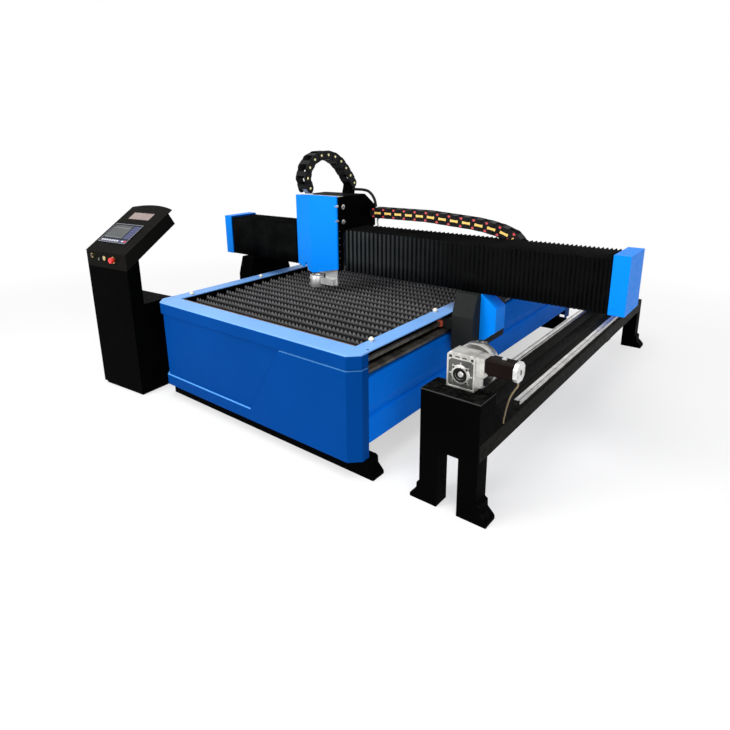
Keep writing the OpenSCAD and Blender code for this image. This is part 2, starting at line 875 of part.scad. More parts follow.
module chuck_jaw(turn) {
    wide = jaw_slot_w / 2 - slide_gap;
    neck = wide - 7;
    top = chuck_y[1] + slide_gap;
    color(dull_steel)
        at_jaw(turn) {
            block([-wide, wide], [jaw_slot_y + slide_gap, jaw_lip_y - slide_gap], [jaw_in, jaw_out]);
            block([-neck, neck], [jaw_lip_y - slide_gap, top], [jaw_in, jaw_out]);
            block([-jaw_w / 2, jaw_w / 2], [top, top + 22], [jaw_in, jaw_out]);
            block([-jaw_w / 2, jaw_w / 2], [top + 22, top + 40], [jaw_in + 18, jaw_out]);
        }
}

module jaw_a() {
    chuck_jaw(0);
}

module jaw_b() {
    chuck_jaw(120);
}

module jaw_c() {
    chuck_jaw(240);
}

module support_carriage() {
    run = [support_y, support_y + support_len];
    deck = rotary_deck + 45;
    color(paint_blue)
        block([rotary_x - rotary_half - 6, rotary_x + rotary_half + 6], run, [deck, deck + 20]);
    color(bright_steel)
        for (side = [-1, 1], y = [support_y + 20, support_y + 230])
            difference() {
                x = rotary_x + side * rotary_rail_out;
                block([x - 32, x + 32], [y, y + 70], [rotary_deck + 5, deck]);
                block(
                    [x - 17 - slide_gap, x + 17 + slide_gap], [y - 1, y + 71],
                    [rotary_deck, rotary_deck + rotary_rail_h + slide_gap]
                );
            }
    color(paint_blue)
        for (y = [roller_ys[0] - 16, roller_ys[1] + 1])
            difference() {
                block([rotary_x - 80, rotary_x + 80], [y, y + 15], [deck + 20, roller_z + 22]);
                for (side = [-1, 1])
                    bar_y(rotary_x + side * roller_x, roller_z, [y - 1, y + 16], roller_pin + shaft_gap);
            }
}

module support_roller(side) {
    x = rotary_x + side * roller_x;
    color(bright_steel) {
        bar_y(x, roller_z, roller_ys, roller_r);
        bar_y(x, roller_z, [roller_ys[0] - 20, roller_ys[1] + 20], roller_pin);
    }
}

module support_roller_left() {
    support_roller(-1);
}

module support_roller_right() {
    support_roller(1);
}

// The gantry

module gantry_beam() {
    color(paint_blue)
        tube([gantry_l + cover_sheet, gantry_r - cover_sheet], beam_y, beam_zs, 0, 8);
}

// Side view of an upright, set in from its outer faces
function upright_outline(inset) =
    let (foot = cap_d / 2 + 88 - inset)
    let (head = cap_d / 2 + 43 - inset)
    [
        [gantry_mid - foot, upright_z + inset], [gantry_mid + foot, upright_z + inset],
        [gantry_mid + foot, bed_h], [gantry_mid + head, gantry_z - inset],
        [gantry_mid - head, gantry_z - inset], [gantry_mid - foot, bed_h]
    ];

module upright_shell() {
    difference() {
        along_x([upright_in, upright_out], upright_outline(0));
        along_x([upright_in + upright_wall, upright_out - upright_wall], upright_outline(upright_wall));
        bar_x(gantry_mid, bed_h, [upright_out - upright_wall - 1, upright_out + 1], 20);
    }
    block([upright_in, upright_out], [beam_y[0] + 10, beam_y[1] - 10], [gantry_z - 2, beam_zs[0]]);
    for (y = truck_ys)
        block([wall_x + 30, upright_in + 2], y, [rail_z - 28, rail_z + 40]);
}

module right_upright() {
    motor_half = 44;
    color(satin_black)
        difference() {
            upright_shell();
            bar_x(y_drive_y, y_drive_z, [upright_in - 1, upright_in + upright_wall + 1], 12 + shaft_gap);
            block(
                [upright_out - upright_wall - 1, upright_out + 1],
                [y_drive_y - motor_half, y_drive_y + motor_half],
                [y_drive_z - motor_half, y_drive_z + motor_half]
            );
        }
}

module left_upright() {
    color(satin_black)
        mirror([1, 0, 0])
            upright_shell();
}

module end_caps() {
    y = [gantry_front, gantry_front + cap_d];
    z = [gantry_z, gantry_top];
    s = cover_sheet;
    color(paint_blue) {
        difference() {
            block([gantry_l, gantry_l + cap_w], y, z);
            block([gantry_l + s, gantry_l + cap_w + 1], [y[0] + s, y[1] - s], [z[0] + s, z[1] - s]);
        }
        difference() {
            block([gantry_r - cap_w, gantry_r], y, z);
            block([gantry_r - cap_w - 1, gantry_r - s], [y[0] + s, y[1] - s], [z[0] + s, z[1] - s]);
        }
    }
}

module x_guides() {
    run = [gantry_l + cap_w + 10, gantry_r - cap_w - 10];
    color(bright_steel) {
        mirror([0, 1, 0])
            for (z = x_rail_zs)
                along_x(run, rail_outline(-beam_y[0], z, 20, 20));
        translate([0, 0, x_rack_z[0]])
            linear_extrude(x_rack_z[1] - x_rack_z[0])
                polygon(rack_outline(run[0], run[1], carriage_x, x_pitch_y, x_pitch_y - 22));
    }
}

module y_blocks() {
    color(bright_steel)
        both_sides()
            for (y = truck_ys)
                difference() {
                    block([wall_x + 4.4, wall_x + 30], y, [rail_z - 22, rail_z + 22]);
                    block(
                        [wall_x, wall_x + 20 + slide_gap], [y[0] - 1, y[1] + 1],
                        [rail_z - 10 - slide_gap, rail_z + 10 + slide_gap]
                    );
                }
}

// Section of the drive cover from above the beam line down, set in from its outer faces
function drive_cover_outline(inset) = [
    [upright_out, gantry_z - inset * 1.6], [upright_out + cover_w - inset, gantry_z - 79 - inset / 2],
    [upright_out + cover_w - inset, y_drive_z + inset / 2],
    [upright_out + 35, y_drive_z - 60 + inset * 1.4],
    [upright_out, y_drive_z - 67 + inset * 1.1]
];

module drive_cover() {
    y = [gantry_front, gantry_front + cover_d];
    color(paint_blue)
        difference() {
            along_y(y, drive_cover_outline(0));
            translate([-0.01, 0, 0])
                along_y([y[0] + cover_sheet, y[1] - cover_sheet], drive_cover_outline(cover_sheet));
        }
}

module y_motor() {
    face = upright_in + upright_wall;
    color(satin_black)
        translate([0, y_drive_y, y_drive_z]) {
            along_x([face, face + 30], cut_square(43, 6));
            along_x([face + 30, face + 150], cut_square(40, 8));
            along_x([face + 150, face + 181], cut_square(43, 12));
        }
}

module y_pinion() {
    face = upright_in + upright_wall;
    color(bright_steel) {
        translate([0, y_drive_y, y_drive_z])
            along_x([y_rack_in + 3, y_rack_in + 23], pinion_outline);
        bar_x(y_drive_y, y_drive_z, [y_rack_in + 23, face - slide_gap], 12);
    }
}

// Solid under a run of folds: the folds face the front and the top
module pleat_solid(x, inset) {
    folds = round((x[1] - x[0]) / pleat_pitch);
    step = (x[1] - x[0]) / folds / 2;
    function fold(i) = i % 2 == 0 ? pleat_depth : 0;
    line = [for (i = [0 : 2 * folds]) [x[0] + i * step, fold(i) + inset]];
    back = gantry_front + cap_d - 2 + inset;
    low = gantry_z + 2 - inset;
    intersection() {
        translate([0, 0, low])
            linear_extrude(gantry_top - low)
                polygon(concat(
                    [for (p = line) [p[0], gantry_front + p[1]]],
                    [[x[1], back], [x[0], back]]
                ));
        along_y([gantry_front, back], concat(
            [for (p = line) [p[0], gantry_top - bellows_drop - p[1]]],
            [[x[1], low], [x[0], low]]
        ));
    }
}

module bellows(x) {
    color(satin_black)
        difference() {
            pleat_solid(x, 0);
            pleat_solid(x, 2.5);
        }
}

module left_bellows() {
    bellows([gantry_l + cap_w, carriage_l - 0.5]);
}

module right_bellows() {
    bellows([carriage_r + 0.5, gantry_r - cap_w]);
}

// Where the long chain's lower run ends, and the floor of its tray
chain_end = pin_after(x_start, x_headings, x_link, len(x_headings));
tray_z = chain_end[1] - link_round * x_link - slide_gap;
tray_len = 1150;

module chain_tray() {
    run = [chain_end[0] - 50, chain_end[0] + tray_len];
    y = [beam_y[1], x_chain_y + x_chain_w / 2 + 8];
    color(satin_black) {
        block(run, y, [tray_z - 5, tray_z]);
        block(run, [y[0], y[0] + 5], [tray_z - 5, tray_z + 50]);
        block(run, [y[1] - 4, y[1]], [tray_z - 5, tray_z + 32]);
        block(
            [run[0], chain_end[0] + 10],
            [x_chain_y - bracket_half(x_chain_w), x_chain_y + bracket_half(x_chain_w)],
            [tray_z, tray_z + 50]
        );
    }
}

module x_chain() {
    color(chain_black)
        for (i = [0 : len(x_headings) - 1]) {
            pin = pin_after(x_start, x_headings, x_link, i);
            translate([pin[0], x_chain_y, pin[1]])
                rotate([0, -x_headings[i], 0])
                    chain_link(x_link, x_chain_w);
        }
}

// The torch carriage

module carriage_plate() {
    s = housing_wall;
    color(bright_steel)
        difference() {
            union() {
                block([carriage_l + 10, carriage_r - 10], plate_y, plate_z);
                block(
                    [carriage_l + s, carriage_r - s], [plate_y[1] - 1, plate_y[1] + 310],
                    [plate_z[1] - plate_t, plate_z[1]]
                );
                block(
                    [carriage_x - 60, carriage_x + 60], [plate_y[0] - 73, plate_y[0]],
                    [motor_shelf_z, plate_z[1]]
                );
            }
            translate([carriage_x, x_drive_y, plate_z[1] - plate_t - 1])
                cylinder(r = 10 + shaft_gap, h = plate_t + 2);
        }
}

module carriage_housing() {
    outline = [
        [shoulder_y + cover_t, gantry_z + 11], [gantry_front - 6, gantry_z + 11],
        [gantry_front - 6, gantry_top - 28], [housing_back, gantry_top - 28],
        [housing_back, housing_top - housing_drop], [housing_brow, housing_top],
        [shoulder_y + cover_t, housing_top]
    ];
    s = housing_wall;
    hollow = [
        [shoulder_y - 1, gantry_z], [housing_back - s, gantry_z],
        [housing_back - s, housing_top - housing_drop - s / 2], [housing_brow - s / 3, housing_top - s],
        [shoulder_y - 1, housing_top - s]
    ];
    color(satin_black)
        difference() {
            along_x([carriage_l, carriage_r], outline);
            along_x([carriage_l + s, carriage_r - s], hollow);
        }
}

module carriage_cover() {
    s = cover_t;
    fall = tan(cover_angle);
    line = [
        [carriage_l, ridge_y + (ridge_x[0] - carriage_l) * fall], [ridge_x[0], ridge_y],
        [ridge_x[1], ridge_y], [carriage_r, ridge_y + (carriage_r - ridge_x[1]) * fall]
    ];
    low = gantry_z - 12;
    high = housing_top + 5;
    face = [
        [carriage_l - 1, low + 38], [ridge_x[0], low], [ridge_x[1], low], [carriage_r + 1, low + 38],
        [carriage_r + 1, high], [ridge_x[1], high + 8], [ridge_x[0], high + 8], [carriage_l - 1, high]
    ];
    notch = [[carriage_x - 130, low - 5], [carriage_x - 92, low + 68], [carriage_x - 55, low - 5]];
    color(paint_blue) {
        difference() {
            intersection() {
                translate([0, 0, low])
                    linear_extrude(high + 8 - low)
                        polygon(concat(line, [for (p = backwards(line)) p + [0, s]]));
                along_y([ridge_y - 1, shoulder_y + s + 1], face);
            }
            along_y([ridge_y - 1, shoulder_y + s + 1], notch);
        }
        for (x = [[carriage_l, carriage_l + s], [carriage_r - s, carriage_r]])
            block(x, [shoulder_y - 8, shoulder_y + s], [low + 40, high - 5]);
    }
}

module carriage_guides() {
    color(bright_steel) {
        for (z = x_rail_zs, x = [carriage_x - 175, carriage_x + 95])
            difference() {
                block([x, x + 80], [plate_y[1], beam_y[0] - 4.4], [z - 22, z + 22]);
                block(
                    [x - 1, x + 81], [beam_y[0] - 20 - slide_gap, beam_y[0]],
                    [z - 10 - slide_gap, z + 10 + slide_gap]
                );
            }
        for (x = lifter_xs)
            block([x - 10, x + 10], [plate_y[0] - 18, plate_y[0]], [plate_z[0] + 5, motor_shelf_z - 7]);
    }
}

module carriage_motors() {
    color(satin_black) {
        translate([carriage_x, x_drive_y, plate_z[1]]) {
            linear_extrude(80)
                polygon(cut_square(43, 6));
            translate([0, 0, 80])
                linear_extrude(30)
                    polygon(cut_square(40, 12));
        }
        translate([carriage_x, screw_y, plate_z[1]]) {
            linear_extrude(70)
                polygon(cut_square(28, 5));
            translate([0, 0, 70])
                linear_extrude(20)
                    polygon(cut_square(26, 9));
        }
    }
}

module x_pinion() {
    color(bright_steel) {
        translate([carriage_x, x_drive_y, x_rack_z[0] + 2])
            linear_extrude(20)
                polygon(pinion_outline);
        translate([carriage_x, x_drive_y, x_rack_z[0] + 22])
            cylinder(r = 10, h = plate_z[1] - x_rack_z[0] - 22 - slide_gap);
    }
}

module z_screw() {
    color(bright_steel)
        translate([carriage_x, screw_y, plate_z[0] + 20])
            cylinder(r = screw_r, h = motor_shelf_z - slide_gap - plate_z[0] - 20);
}

// Height of the housing's sloping top
function housing_slope(y) =
    housing_top - housing_drop * (y - housing_brow) / (housing_back - housing_brow);

// Where the lifter's chain ends behind the carriage
z_end = pin_after(z_start, z_headings, z_link, len(z_headings));

module chain_brackets() {
    x_half = bracket_half(x_chain_w);
    z_half = bracket_half(z_chain_w);
    foot_ys = [housing_back - 60, housing_back - 2];
    color(satin_black) {
        block(
            [carriage_r, carriage_r + 6], [x_chain_y - 34, x_chain_y + 34],
            [x_start[1] - 40, x_start[1] + 40]
        );
        block(
            [carriage_r + 6, x_start[0] + 8], [x_chain_y - x_half, x_chain_y + x_half],
            [x_start[1] - 22, x_start[1] + 22]
        );
        along_x([z_chain_x - z_half, z_chain_x + z_half], [
            [foot_ys[0], housing_slope(foot_ys[0])], [foot_ys[1], housing_slope(foot_ys[1])],
            [z_end[0] + 22, z_end[1] - 15], [z_end[0] - 8, z_end[1] + 16], [z_end[0] - 36, z_end[1] - 12]
        ]);
    }
}

module z_chain() {
    color(chain_black)
        for (i = [0 : len(z_headings) - 1]) {
            pin = pin_after(z_start, z_headings, z_link, i);
            translate([z_chain_x, pin[0], pin[1]])
                rotate([0, 0, 90])
                    rotate([0, -z_headings[i], 0])
                        chain_link(z_link, z_chain_w);
        }
}

module torch_hose() {
    color(chain_black)
        lead(hose_points, 11);
}

module torch_slide() {
    block_zs = [gantry_z + 71, gantry_z + 131];
    mast_half = bracket_half(z_chain_w);
    mast_y = [gantry_front - 88, gantry_front - 80];
    top = gantry_z + 201;
    color(cast_silver)
        along_y(slide_y, [
            [carriage_x - 140, gantry_z - 29], [carriage_x + 40, gantry_z - 29],
            [carriage_x + 40, gantry_z - 107], [carriage_x + 154, gantry_z - 107],
            [carriage_x + 154, top], [carriage_x - 140, top]
        ]);
    color(bright_steel) {
        for (x = lifter_xs, z = block_zs)
            difference() {
                block([x - 22, x + 22], [slide_y[1], plate_y[0] - 4], [z, z + 50]);
                block(
                    [x - 10 - slide_gap, x + 10 + slide_gap],
                    [plate_y[0] - 18 - slide_gap, plate_y[0]], [z - 1, z + 51]
                );
            }
        difference() {
            block(
                [carriage_x - 25, carriage_x + 25], [slide_y[1], plate_y[0] - 4],
                [gantry_z + 101, gantry_z + 141]
            );
            translate([carriage_x, screw_y, gantry_z + 100])
                cylinder(r = screw_r + shaft_gap, h = 42);
        }
    }
    color(satin_black) {
        block([z_chain_x - mast_half, z_chain_x + mast_half], [mast_y[0], slide_y[0]], [top - 12, top]);
        along_x([z_chain_x - mast_half, z_chain_x + mast_half], [
            [mast_y[0], top - 12], [mast_y[1], top - 12], [mast_y[1], z_start[1] - 28],
            [z_start[0] + 16, z_start[1] + 16],
            [z_start[0] - 14, z_start[1]], [mast_y[0], z_start[1] - 38]
        ]);
    }
}

module torch_clamp() {
    color(cast_silver) {
        difference() {
            union() {
                translate([torch_x, torch_y, clamp_z[0]])
                    cylinder(r = clamp_d / 2, h = clamp_z[1] - clamp_z[0]);
                block(
                    [torch_x, carriage_x + 130], [slide_y[0] - 22, slide_y[0]],
                    [clamp_z[0] + 25, clamp_z[1] - 14]
                );
            }
            translate([torch_x, torch_y, clamp_z[0] - 1])
                cylinder(r = torch_bore / 2, h = clamp_z[1] - clamp_z[0] + 2);
            block(
                [torch_x - clamp_d, torch_x], [torch_y - 1.5, torch_y + 1.5],
                [clamp_z[0] - 1, clamp_z[1] + 1]
            );
        }
    }
}

// The console

// Places a piece drawn from the console's right front corner, behind and to the left of it
module at_console() {
    translate([console_x, console_y, 0])
        rotate([0, 0, console_turn])
            children();
}

// Places a piece drawn flat on the slanted panel, its lower edge along X
module on_panel() {
    at_console()
        translate([0, 0, console_h])
            rotate([head_slope, 0, 0])
                children();
}

// Side view of the cabinet and post, set in from the outer faces
function cabinet_outline(inset) = [
    [inset, 20 + inset], [cabinet_d - inset, 20 + inset], [cabinet_d - inset, cabinet_h - inset],
    [post_d - inset, cabinet_h - inset], [post_d - inset, under_z + post_d * head_tan - inset],
    [inset, under_z - inset * 0.3]
];

module console_cabinet() {
    s = console_sheet;
    color(satin_black)
        at_console() {
            difference() {
                along_x([-console_w, 0], cabinet_outline(0));
                along_x([-console_w + s, -s], cabinet_outline(s));
                for (at = [[142, 137], [177, cabinet_h - 140]], i = [-3 : 3])
                    block(
                        [-s - 1, 1], [at[0] - 45, at[0] + 45],
                        [at[1] + i * 12 - 2.5, at[1] + i * 12 + 2.5]
                    );
            }
            block([-console_w + 12, -12], [12, cabinet_d - 12], [0, 20]);
        }
}

module console_head() {
    s = console_sheet;
    rear = head_t * sin(head_slope);
    outline = [
        [0, under_z], [head_body + rear, under_z + (head_body + rear) * head_tan],
        [head_body, console_h + head_body * head_tan], [0, console_h]
    ];
    hollow = [
        [s, under_z + 2 * s],
        [head_body + rear - 2 * s, under_z + (head_body + rear - 2 * s) * head_tan + 2 * s],
        [head_body - 2 * s, console_h + (head_body - 2 * s) * head_tan - 2 * s], [s, console_h - s]
    ];
    radius = (console_w * console_w / 4 + arc_rise * arc_rise) / (2 * arc_rise);
    plate_lip = 1.5;
    color(satin_black)
        at_console()
            difference() {
                along_x([-console_w, 0], outline);
                along_x([-console_w + s, -s], hollow);
                for (i = [0, 1, 2])
                    bar_y(control_x[i], control_z[i], [-1, s + 3], 11.5);
            }
    color(panel_grey)
        on_panel()
            translate([0, 0, -1])
                linear_extrude(5)
                    intersection() {
                        translate([-console_w / 2, head_len + arc_rise - radius])
                            circle(r = radius, $fn = 180);
                        translate([-console_w - plate_lip, 0])
                            square([console_w + 2 * plate_lip, head_len + arc_rise + 2]);
                    }
}

module panel_bezel() {
    color(panel_grey)
        on_panel()
            translate([0, 0, 4])
                linear_extrude(6)
                    difference() {
                        translate([screen_x[0], screen_y[0]])
                            square([screen_x[1] - screen_x[0], screen_y[1] - screen_y[0]]);
                        translate([screen_x[0] + 12, screen_y[0] + 52])
                            square([208, screen_y[1] - screen_y[0] - 64]);
                        translate([screen_x[1] - 92, screen_y[0] + 52])
                            square([80, screen_y[1] - screen_y[0] - 64]);
                        translate([screen_x[0] + 12, screen_y[0] + 10])
                            square([screen_x[1] - screen_x[0] - 24, 32]);
                    }
}

module panel_screen() {
    color([0.55, 0.58, 0.60])
        on_panel()
            translate([screen_x[0] + 12, screen_y[0] + 52, 4])
                cube([208, screen_y[1] - screen_y[0] - 64, 2.5]);
}

module panel_keys() {
    key_w = 18;
    color(key_lilac)
        on_panel() {
            for (i = [0 : 3], k = [0 : 5])
                translate([screen_x[1] - 91 + i * 20, screen_y[0] + 54 + k * 23, 4])
                    cube([key_w, 20, 3]);
            for (i = [0 : 9])
                translate([screen_x[0] + 15 + i * 29.5, screen_y[0] + 13, 4])
                    cube([26, 26, 3]);
        }
}

module control_bezels() {
    color(brass_gold)
        at_console()
            for (i = [0, 1, 2])
                difference() {
                    union() {
                        bar_y(control_x[i], control_z[i], [-8, 0], i == 2 ? 24 : 17);
                        bar_y(control_x[i], control_z[i], [0, 30], 11.5);
                    }
                    bar_y(control_x[i], control_z[i], [-9, 26], 8);
                }
}

module push_button() {
    color(satin_black)
        at_console() {
            bar_y(control_x[0], control_z[0], [-14, -12 + slide_gap], 12);
            bar_y(control_x[0], control_z[0], [-12 + slide_gap, 20], 8 - shaft_gap);
        }
}

module key() {
    color(bright_steel)
        at_console() {
            bar_y(control_x[1], control_z[1], [-12, 20], 8 - shaft_gap);
            translate([control_x[1], -12, control_z[1]]) {
                block([-1.25, 1.25], [-14, 0.1], [-5, 5]);
                translate([-1.25, -26, 0])
                    rotate([0, 90, 0])
                        difference() {
                            cylinder(r = 13, h = 2.5);
                            translate([0, -6, -1])
                                cylinder(r = 3, h = 5);
                        }
            }
        }
}

module stop_button() {
    color(stop_red)
        at_console() {
            bar_y(control_x[2], control_z[2], [-34, -26], 19);
            bar_y(control_x[2], control_z[2], [-26, -15], 20);
            bar_y(control_x[2], control_z[2], [-15, 18], 8 - shaft_gap);
        }
}

bed_frame();
base_skids();
front_apron();
rear_apron();
side_panels();
top_rim();
slat_supports();
slats();
slag_tray();
y_guides();
rim_knobs();
rotary_stands();
rotary_beams();
rotary_rails();
gearbox_housing();
rotary_motor();
motor_caps();
motor_cable();
spindle();
chuck_body();
jaw_a();
jaw_b();
jaw_c();
support_carriage();
support_roller_left();
support_roller_right();
gantry_beam();
right_upright();
left_upright();
end_caps();
x_guides();
y_blocks();
drive_cover();
y_motor();
y_pinion();
left_bellows();
right_bellows();
chain_tray();
x_chain();
carriage_plate();
carriage_housing();
carriage_cover();
carriage_guides();
carriage_motors();
x_pinion();
z_screw();
chain_brackets();
z_chain();
torch_hose();
torch_slide();
torch_clamp();
console_cabinet();
console_head();
panel_bezel();
panel_screen();
panel_keys();
control_bezels();
push_button();
key();
stop_button();
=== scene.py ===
import math

import bmesh
import bpy
from bpy.props import FloatProperty, FloatVectorProperty, PointerProperty
from mathutils import Matrix, Vector


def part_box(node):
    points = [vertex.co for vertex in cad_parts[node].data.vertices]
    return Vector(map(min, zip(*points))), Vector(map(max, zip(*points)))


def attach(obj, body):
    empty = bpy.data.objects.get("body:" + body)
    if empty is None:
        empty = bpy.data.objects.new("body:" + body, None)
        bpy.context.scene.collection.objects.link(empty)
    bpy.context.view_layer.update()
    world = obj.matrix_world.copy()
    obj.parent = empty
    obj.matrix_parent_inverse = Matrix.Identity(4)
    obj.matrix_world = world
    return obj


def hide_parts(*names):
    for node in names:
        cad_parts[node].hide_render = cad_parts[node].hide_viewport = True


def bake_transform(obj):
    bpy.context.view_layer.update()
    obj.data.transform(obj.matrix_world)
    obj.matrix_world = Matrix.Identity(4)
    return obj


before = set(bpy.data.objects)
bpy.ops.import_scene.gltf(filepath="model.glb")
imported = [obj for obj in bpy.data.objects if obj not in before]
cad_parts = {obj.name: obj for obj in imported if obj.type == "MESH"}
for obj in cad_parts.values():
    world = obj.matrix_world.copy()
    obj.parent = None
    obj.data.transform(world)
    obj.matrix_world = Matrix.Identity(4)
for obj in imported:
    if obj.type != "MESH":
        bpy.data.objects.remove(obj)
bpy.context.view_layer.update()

bl_info = {
    "name": "Plasma Table Finish",
    "version": (1, 0, 0),
    "blender": (4, 5, 0),
    "location": "3D View > Sidebar > Plasma Table",
    "description": "Dresses the cutting table's solids with paint, bellows, drag chains and fittings",
    "category": "Object",
}

# Places are in metres. Small forms are drawn in millimetres, in frames that are scaled down by MM
MM = 0.001
UP = Vector((0, 0, 1))
RIGHT = Vector((1, 0, 0))
BACK = Vector((0, 1, 0))
FRONT = Vector((0, -1, 0))


# Values worked out from the frame

def low(node):
    return Vector(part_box(node)[0])


def high(node):
    return Vector(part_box(node)[1])


def middle(node):
    return (low(node) + high(node)) / 2


GANTRY_FRONT = low("end_caps").y
GANTRY_TOP = high("end_caps").z
CARRIAGE_RIGHT = high("carriage_housing").x
CHUCK_AXIS = middle("chuck_body")

# The long chain and the lifter's chain: links in millimetres, and each link's heading above level in degrees
X_LINK = 90
X_CHAIN_W = 80
X_START = Vector((CARRIAGE_RIGHT + 40 * MM, GANTRY_FRONT + 340 * MM, GANTRY_TOP + 75 * MM))
X_HEADINGS = [0] * 5 + [-4] * 4 + [-8, -12, -20, -45, -90, -135] + [-180] * 8
UPPER_LINKS = 14
Z_LINK = 75
Z_CHAIN_W = 90
Z_START = Vector((middle("z_chain").x, GANTRY_FRONT - 115.5 * MM, GANTRY_TOP + 273.5 * MM))
Z_HEADINGS = [108, 70, 45, 20, 2, -12, -28, -42, -48, -52]
LINK_ROUND = 0.42

# Half the width of a rotary guide rail
RAIL_HALF = 10 * MM

# Frame of the console's slanted panel in millimetres: X along its lower edge, Y up the slope, Z out of it
CONSOLE_CORNER = (-1.012, -0.241, 0)
CONSOLE_TURN = math.radians(5.5)
PANEL_FOOT = 1.043
PANEL_SLOPE = math.radians(31.7)
PANEL = (
    Matrix.Translation(CONSOLE_CORNER) @ Matrix.Rotation(CONSOLE_TURN, 4, "Z")
    @ Matrix.Translation((0, 0, PANEL_FOOT)) @ Matrix.Rotation(PANEL_SLOPE, 4, "X") @ Matrix.Scale(MM, 4))


# Settings that a user would change

def colour_setting(name, description, default):
    return FloatVectorProperty(
        name=name, description=description, subtype="COLOR", size=3, min=0, max=1, default=default)


def length_setting(name, description, smallest, largest, default):
    return FloatProperty(
        name=name, description=description, unit="LENGTH", min=smallest, max=largest, default=default)


def angle_setting(name, description, default):
    return FloatProperty(name=name, description=description, subtype="ANGLE", default=default)


def power_setting(name, description, default):
    return FloatProperty(name=name, description=description, unit="POWER", min=0, default=default)


class PaintSettings(bpy.types.PropertyGroup):
    """Colours of the painted and plastic pieces"""
    blue: colour_setting("Cover blue", "Bright paint of the covers and end caps", (0.0, 0.225, 0.86))
    side: colour_setting("Side blue", "Paint of the bed's side panels", (0.0, 0.14, 0.66))
    # A darker copy of the bed's blue: painted shade on the end sheets
    apron: colour_setting("Apron blue", "Deeper paint of the bed's end sheets", (0.0, 0.045, 0.225))
    # The rim's paler blue is a painted highlight of light falling on its top
    rim: colour_setting("Rim paint", "Paler paint on top of the rim", (0.16, 0.38, 0.80))
    black: colour_setting("Black paint", "Paint of the frame, stands and console", (0.0010, 0.0011, 0.0010))
    bellows: colour_setting("Bellows cloth", "Coated cloth of the folded covers", (0.0022, 0.0024, 0.0026))
    bar: colour_setting("Chain bar", "Cream bars along the long chain", (0.98, 0.62, 0.15))
    joint: colour_setting("Chain joint", "Red pads at the long chain's joints", (0.60, 0.05, 0.06))
    dot: colour_setting("Chain dot", "Cream dots on the lifter's chain", (0.92, 0.86, 0.42))


class TrimSettings(bpy.types.PropertyGroup):
    """Sizes of the folds and of the rounded edges"""
    pleat_pitch: length_setting("Fold pitch", "Distance from one fold to the next", 0.02, 0.08, 0.0296)
    pleat_depth: length_setting("Fold depth", "Depth of the bellows folds", 0.008, 0.024, 0.013)
    edge_round: length_setting("Edge rounding", "Rounding of the folded sheet edges", 0.0005, 0.006, 0.0025)


class StageSettings(bpy.types.PropertyGroup):
    """Camera and light"""
    eye: FloatVectorProperty(
        name="Camera place", description="Place of the camera",
        subtype="XYZ", unit="LENGTH", size=3, default=(2.510, -2.118, 1.750))
    yaw: angle_setting("Turn", "Turn of the camera to the left of straight ahead", 0.7033)
    pitch: angle_setting("Downward tilt", "Tilt of the camera below level", 0.2719)
    roll: angle_setting("Roll", "Roll of the camera about its own line of sight", -0.0211)
    lens: FloatProperty(
        name="Lens", description="Focal length on a 36 mm sensor",
        subtype="DISTANCE_CAMERA", min=10, max=100, default=27.204)
    shift_x: FloatProperty(
        name="Shift across", description="Sideways shift of the picture", default=0.0318)
    shift_y: FloatProperty(
        name="Shift up", description="Upward shift of the picture", default=-0.0923)
    key_power: power_setting("Main light", "Power of the large light above", 230)
    fill_power: power_setting("Side light", "Power of the light from the right", 90)
    front_power: power_setting("Front light", "Power of the light from the front", 190)


# Shader nodes

OWN_PLACE = ("ShaderNodeTexCoord", "Object")
NORMAL = ("ShaderNodeNewGeometry", "Normal")


def add(tree, kind, **values):
    node = tree.nodes.new(kind)
    for label, value in values.items():
        setattr(node, label, value)
    return node


def feed(tree, value, socket):
    """Links another node's output to a socket, or sets the socket to a plain value."""
    if hasattr(value, "links"):
        tree.links.new(value, socket)
    else:
        socket.default_value = value


def set_inputs(node, levels):
    for label, level in levels.items():
        node.inputs[label].default_value = level


def vector(tree, source=OWN_PLACE):
    kind, output = source
    return add(tree, kind).outputs[output]


def axes(tree, source=OWN_PLACE):
    """X, Y and Z of the object's own coordinates or of another vector."""
    parts = add(tree, "ShaderNodeSeparateXYZ")
    feed(tree, vector(tree, source), parts.inputs[0])
    return parts.outputs


def maths(tree, operation, *values, clamp=False):
    node = add(tree, "ShaderNodeMath", operation=operation, use_clamp=clamp)
    for value, socket in zip(values, node.inputs):
        feed(tree, value, socket)
    return node.outputs[0]


def noise(tree, scale, detail, place=None):
    """Noise in the object's own metres, or over another vector."""
    node = add(tree, "ShaderNodeTexNoise")
    feed(tree, scale, node.inputs["Scale"])
    feed(tree, detail, node.inputs["Detail"])
    feed(tree, vector(tree) if place is None else place, node.inputs["Vector"])
    return node.outputs["Fac"]


def spread(tree, value, from_low, from_high, to_low, to_high):
    """Carries a range of values over to another range."""
    node = add(tree, "ShaderNodeMapRange")
    labels = ("Value", "From Min", "From Max", "To Min", "To Max")
    for label, level in zip(labels, (value, from_low, from_high, to_low, to_high)):
        feed(tree, level, node.inputs[label])
    return node.outputs["Result"]


def mix_colour(tree, share, first, second):
    """Colour socket, with a share of a second colour mixed in."""
    node = add(tree, "ShaderNodeMix", data_type="RGBA")
    factor, first_colour, second_colour = node.inputs[0], node.inputs[6], node.inputs[7]
    feed(tree, share, factor)
    feed(tree, first, first_colour)
    feed(tree, second if hasattr(second, "links") else (*second, 1), second_colour)
    return node.outputs[2]


def shaded(tree, base, level):
    """Colour made lighter or darker by a level about one."""
    node = add(tree, "ShaderNodeHueSaturation")
    feed(tree, base, node.inputs["Color"])
    feed(tree, level, node.inputs["Value"])
    return node.outputs["Color"]


# Shader node groups shared by several finishes

# Pale grey of dust and of a painted sheen on level faces
DUST_AND_SHEEN = (0.55, 0.55, 0.53)
FADED_PLASTIC = (0.5, 0.5, 0.48)


